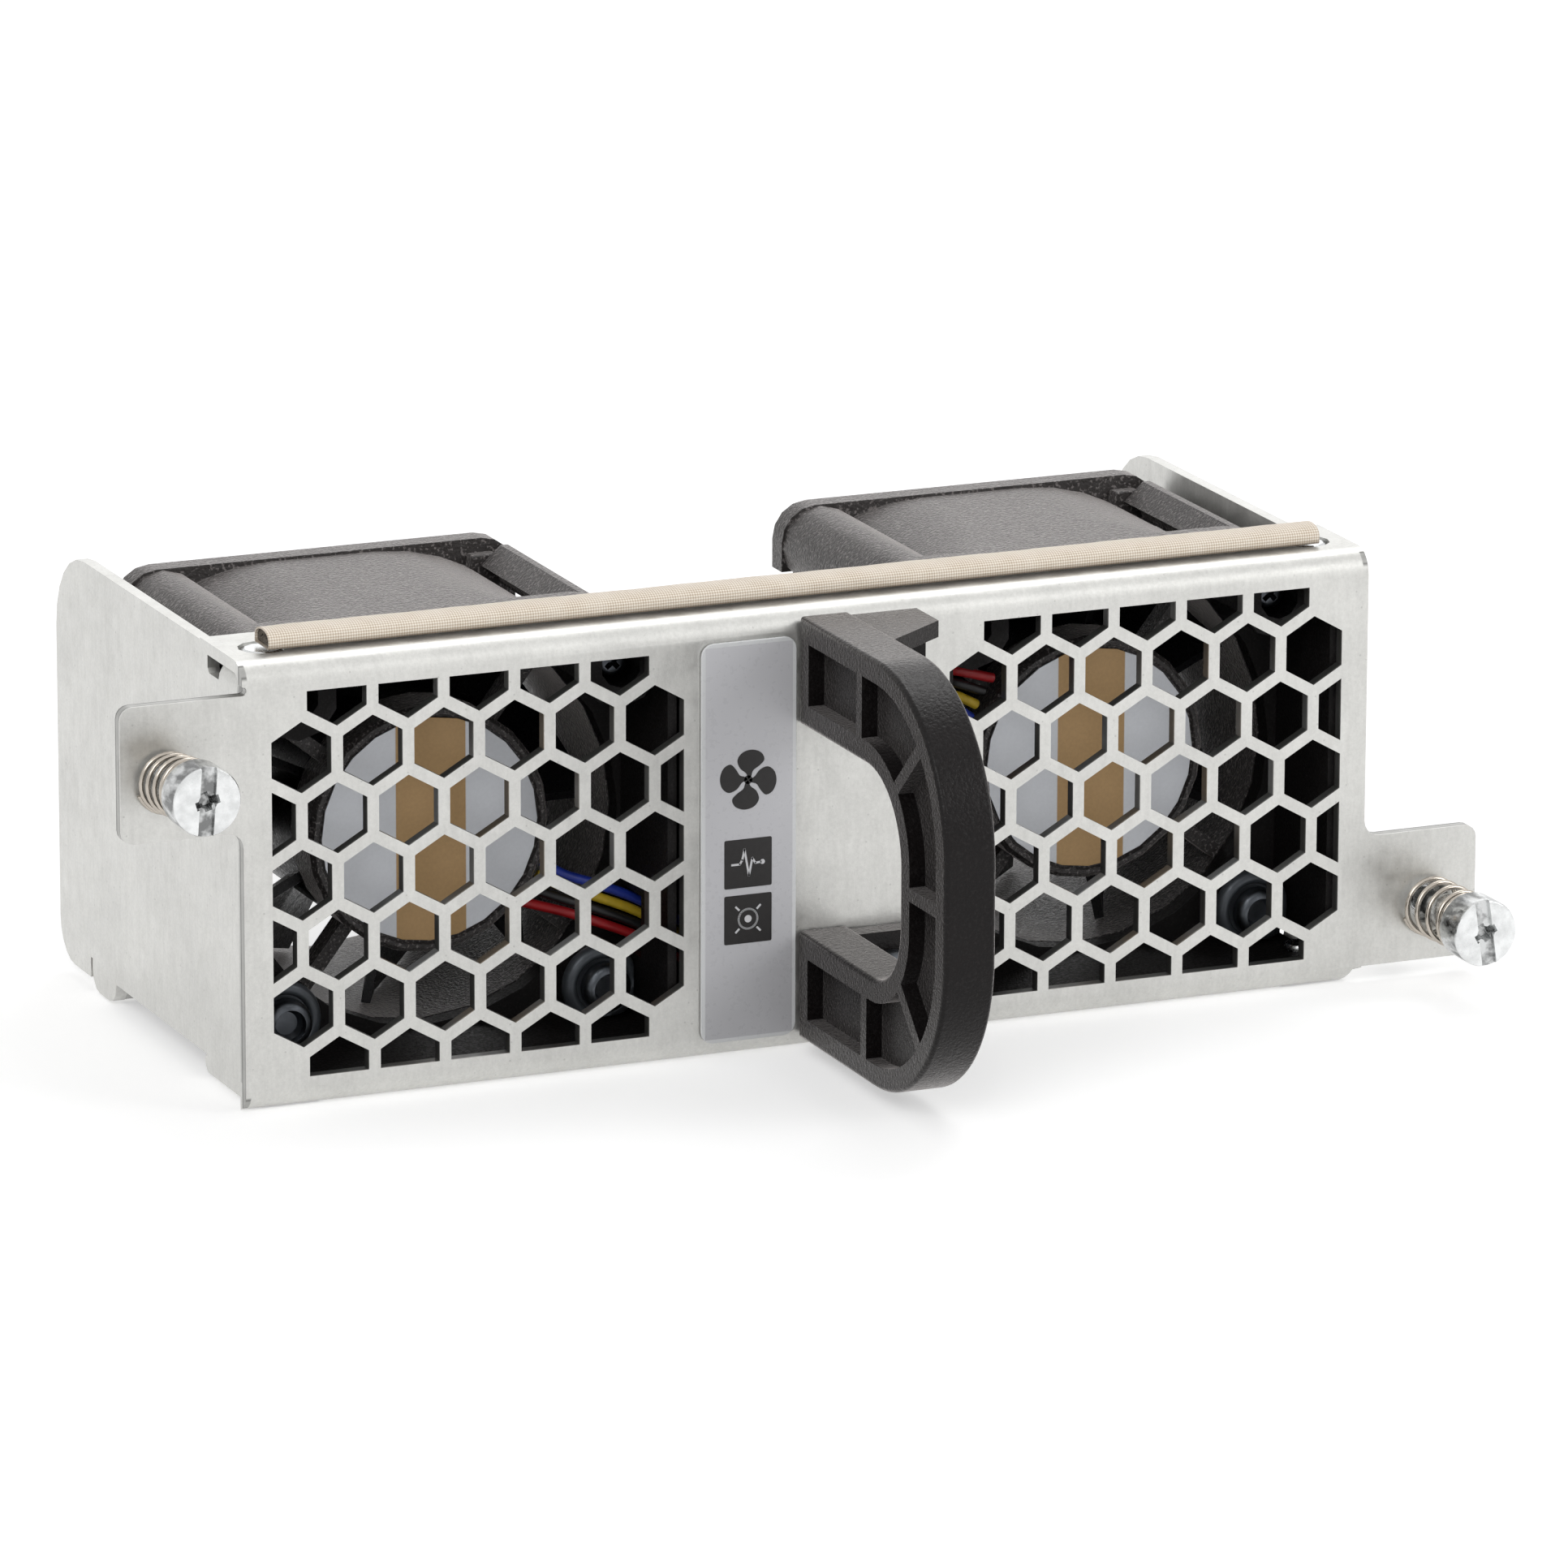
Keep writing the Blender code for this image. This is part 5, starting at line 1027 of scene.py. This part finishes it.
def dress():
    """Finish every CAD node, and make the pieces that stand for some of them."""
    steel = steel_look("galvanised_steel", STEEL)
    zinc = metal_look("zinc", ZINC, 0.24)
    dark_zinc = metal_look("dark_zinc", (0.12, 0.13, 0.145), 0.34)
    spring = metal_look("spring_steel", SPRING, 0.16, 0.6)
    collar = metal_look("washer_finish", (0.095, 0.106, 0.12), 0.34, 0.3, 0.01, 0.4)
    fan = moulded_look("fan_plastic", FAN_BLACK, 0.44, 0.32, 0.10, 0.8, 0.95, 0.48, 0.2)
    rotor = moulded_look("rotor_plastic", (0.008, 0.008, 0.009), 0.36, 0.3, 0.02, 0.05, 0.0, 0.35)
    duct = moulded_look("duct_plastic", (0.008, 0.007, 0.007), 0.5, 0.25, 0.03, 0.08, 0.0, 0.2)
    grip = moulded_look("handle_plastic", HANDLE_BLACK, 0.30, 0.34, 0.07, 0.06, 1.0, 0.18)
    plug = moulded_look("connector_plastic", (0.02, 0.02, 0.021), 0.45, 0.3, 0.01, 0.1)
    finish_node("front_panel", steel_look("front_steel", STEEL, cut_edges=True), 0.16)
    for word in ("left", "right"):
        finish_node(f"side_panel_{word}", steel_look(f"side_steel_{word}", STEEL, seam_shadow=(1.5, 4.0)), 0.13)
    side_feet(steel)
    finish_node("duct_frame", duct, 0.12)
    handle_grip(grip)
    finish_node("label_strip", label_film_look(), 0.08)
    finish_node("control_board", board_look(), 0.05)
    finish_node("rear_connector", plug, 0.15)
    for word in ("left", "right"):
        centre = sum(corner[0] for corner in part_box(f"hub_label_{word}")) / 2
        finish_node(f"fan_frame_{word}", fan, 0.2)
        finish_node(f"fan_rotor_{word}", rotor, 0.12)
        finish_node(f"fan_stator_{word}", winding_look(), 0.1)
        finish_node(f"fan_bearing_{word}", metal_look("bearing_steel", (0.55, 0.56, 0.58), 0.2), 0.05)
        finish_node(f"hub_label_{word}", hub_label_look(centre), 0.03)
        finish_node(f"fan_socket_{word}", plug, 0.1)
        finish_node(f"captive_clip_{word}", zinc, 0.08)
        for level in ("top", "bottom"):
            finish_node(f"flange_rivet_{level}_{word}", zinc, 0.05)
    for word in ("upper", "lower"):
        finish_node(f"handle_nut_{word}", zinc, 0.06)
    for word in ("front", "rear"):
        finish_node(f"board_screw_{word}", zinc, 0.05)
    guide = acrylic_look()
    for word in ("status", "locator"):
        finish_node(f"light_guide_{word}", guide, 0.08)
    for word, axis, face, turn, sag in CAPTIVES:
        plating = plated_look(f"{word}_plate", ZINC, face)
        captive_hardware(word, axis, face, math.radians(turn), sag, plating, spring)
    fan_screws(dark_zinc, collar)
    fan_pockets(fan)
    handle_screws(dark_zinc)
    leads({colour: lead_look(f"lead_{colour}", value) for colour, value in LEADS.items()})
    seal(cloth_look(), foam_look())
    signs(ink_look("dark_ink", (0.012, 0.011, 0.011), (0.022, 0.02, 0.02), 0.45),
          ink_look("white_ink", (0.62, 0.62, 0.64), (0.72, 0.72, 0.74), 0.4))


# Floor, backdrop and light

FLOOR_COLOUR = (0.80, 0.80, 0.80)
LAMP_AIM = Vector((0, 0, 0.02))
# Each lamp's name, place and size in metres, and its power in watts
LAMPS = (("key", (-0.9, -1.1, 1.1), 0.9, 7.6), ("fill", (1.2, -0.9, 0.7), 0.8, 5.6),
         ("top", (0.52, 0.5, 1.15), 0.6, 3.2), ("back", (0.6, 1.4, 0.6), 0.8, 0.9))


def white_to_camera(tree, strength_seen, strength_lit):
    """A world or surface that is seen by the camera, in gloss and through glass at one strength."""
    path = tree.nodes.new("ShaderNodeLightPath")
    seen = tree.nodes.new("ShaderNodeMath")
    seen.operation = "MAXIMUM"
    tree.links.new(path.outputs["Is Camera Ray"], seen.inputs[0])
    more = tree.nodes.new("ShaderNodeMath")
    more.operation = "MAXIMUM"
    tree.links.new(path.outputs["Is Glossy Ray"], more.inputs[0])
    tree.links.new(path.outputs["Is Transmission Ray"], more.inputs[1])
    tree.links.new(more.outputs[0], seen.inputs[1])
    strength = tree.nodes.new("ShaderNodeMapRange")
    strength.inputs["To Min"].default_value = strength_lit
    strength.inputs["To Max"].default_value = strength_seen
    tree.links.new(seen.outputs[0], strength.inputs["Value"])
    return strength.outputs["Result"]


def set_stage():
    """A white world, a pale floor that keeps the shadow, and four soft lamps."""
    world = bpy.data.worlds.new("studio")
    world.use_nodes = True
    scene.world = world
    background = world.node_tree.nodes["Background"]
    background.inputs["Color"].default_value = (1, 1, 1, 1)
    level = white_to_camera(world.node_tree, 1.0, 0.5)
    world.node_tree.links.new(level, background.inputs["Strength"])

    mesh = bpy.data.meshes.new("floor")
    shape = bmesh.new()
    bmesh.ops.create_grid(shape, x_segments=2, y_segments=2, size=6)
    shape.to_mesh(mesh)
    shape.free()
    floor = bpy.data.objects.new("floor", mesh)
    floor.location = (0, 0, cad_box[0][2] - 0.02 * MM)
    scene.collection.objects.link(floor)
    material = bpy.data.materials.new("floor")
    material.use_nodes = True
    tree = material.node_tree
    shader = tree.nodes["Principled BSDF"]
    shader.inputs["Base Color"].default_value = (*FLOOR_COLOUR, 1)
    shader.inputs["Roughness"].default_value = 0.9
    shader.inputs["Specular IOR Level"].default_value = 0.0
    shader.inputs["Emission Color"].default_value = (1, 1, 1, 1)
    tree.links.new(white_to_camera(tree, 0.45, 0.0), shader.inputs["Emission Strength"])
    mesh.materials.append(material)

    for name, place, size, power in LAMPS:
        lamp = bpy.data.lights.new(name, "AREA")
        lamp.shape = "SQUARE"
        lamp.size = size
        lamp.energy = power
        obj = bpy.data.objects.new(name, lamp)
        obj.location = place
        obj.rotation_euler = (LAMP_AIM - Vector(place)).to_track_quat("-Z", "Y").to_euler()
        scene.collection.objects.link(obj)
    scene.view_settings.view_transform = "Standard"


set_camera()
set_stage()
dress()

bpy.context.view_layer.update()
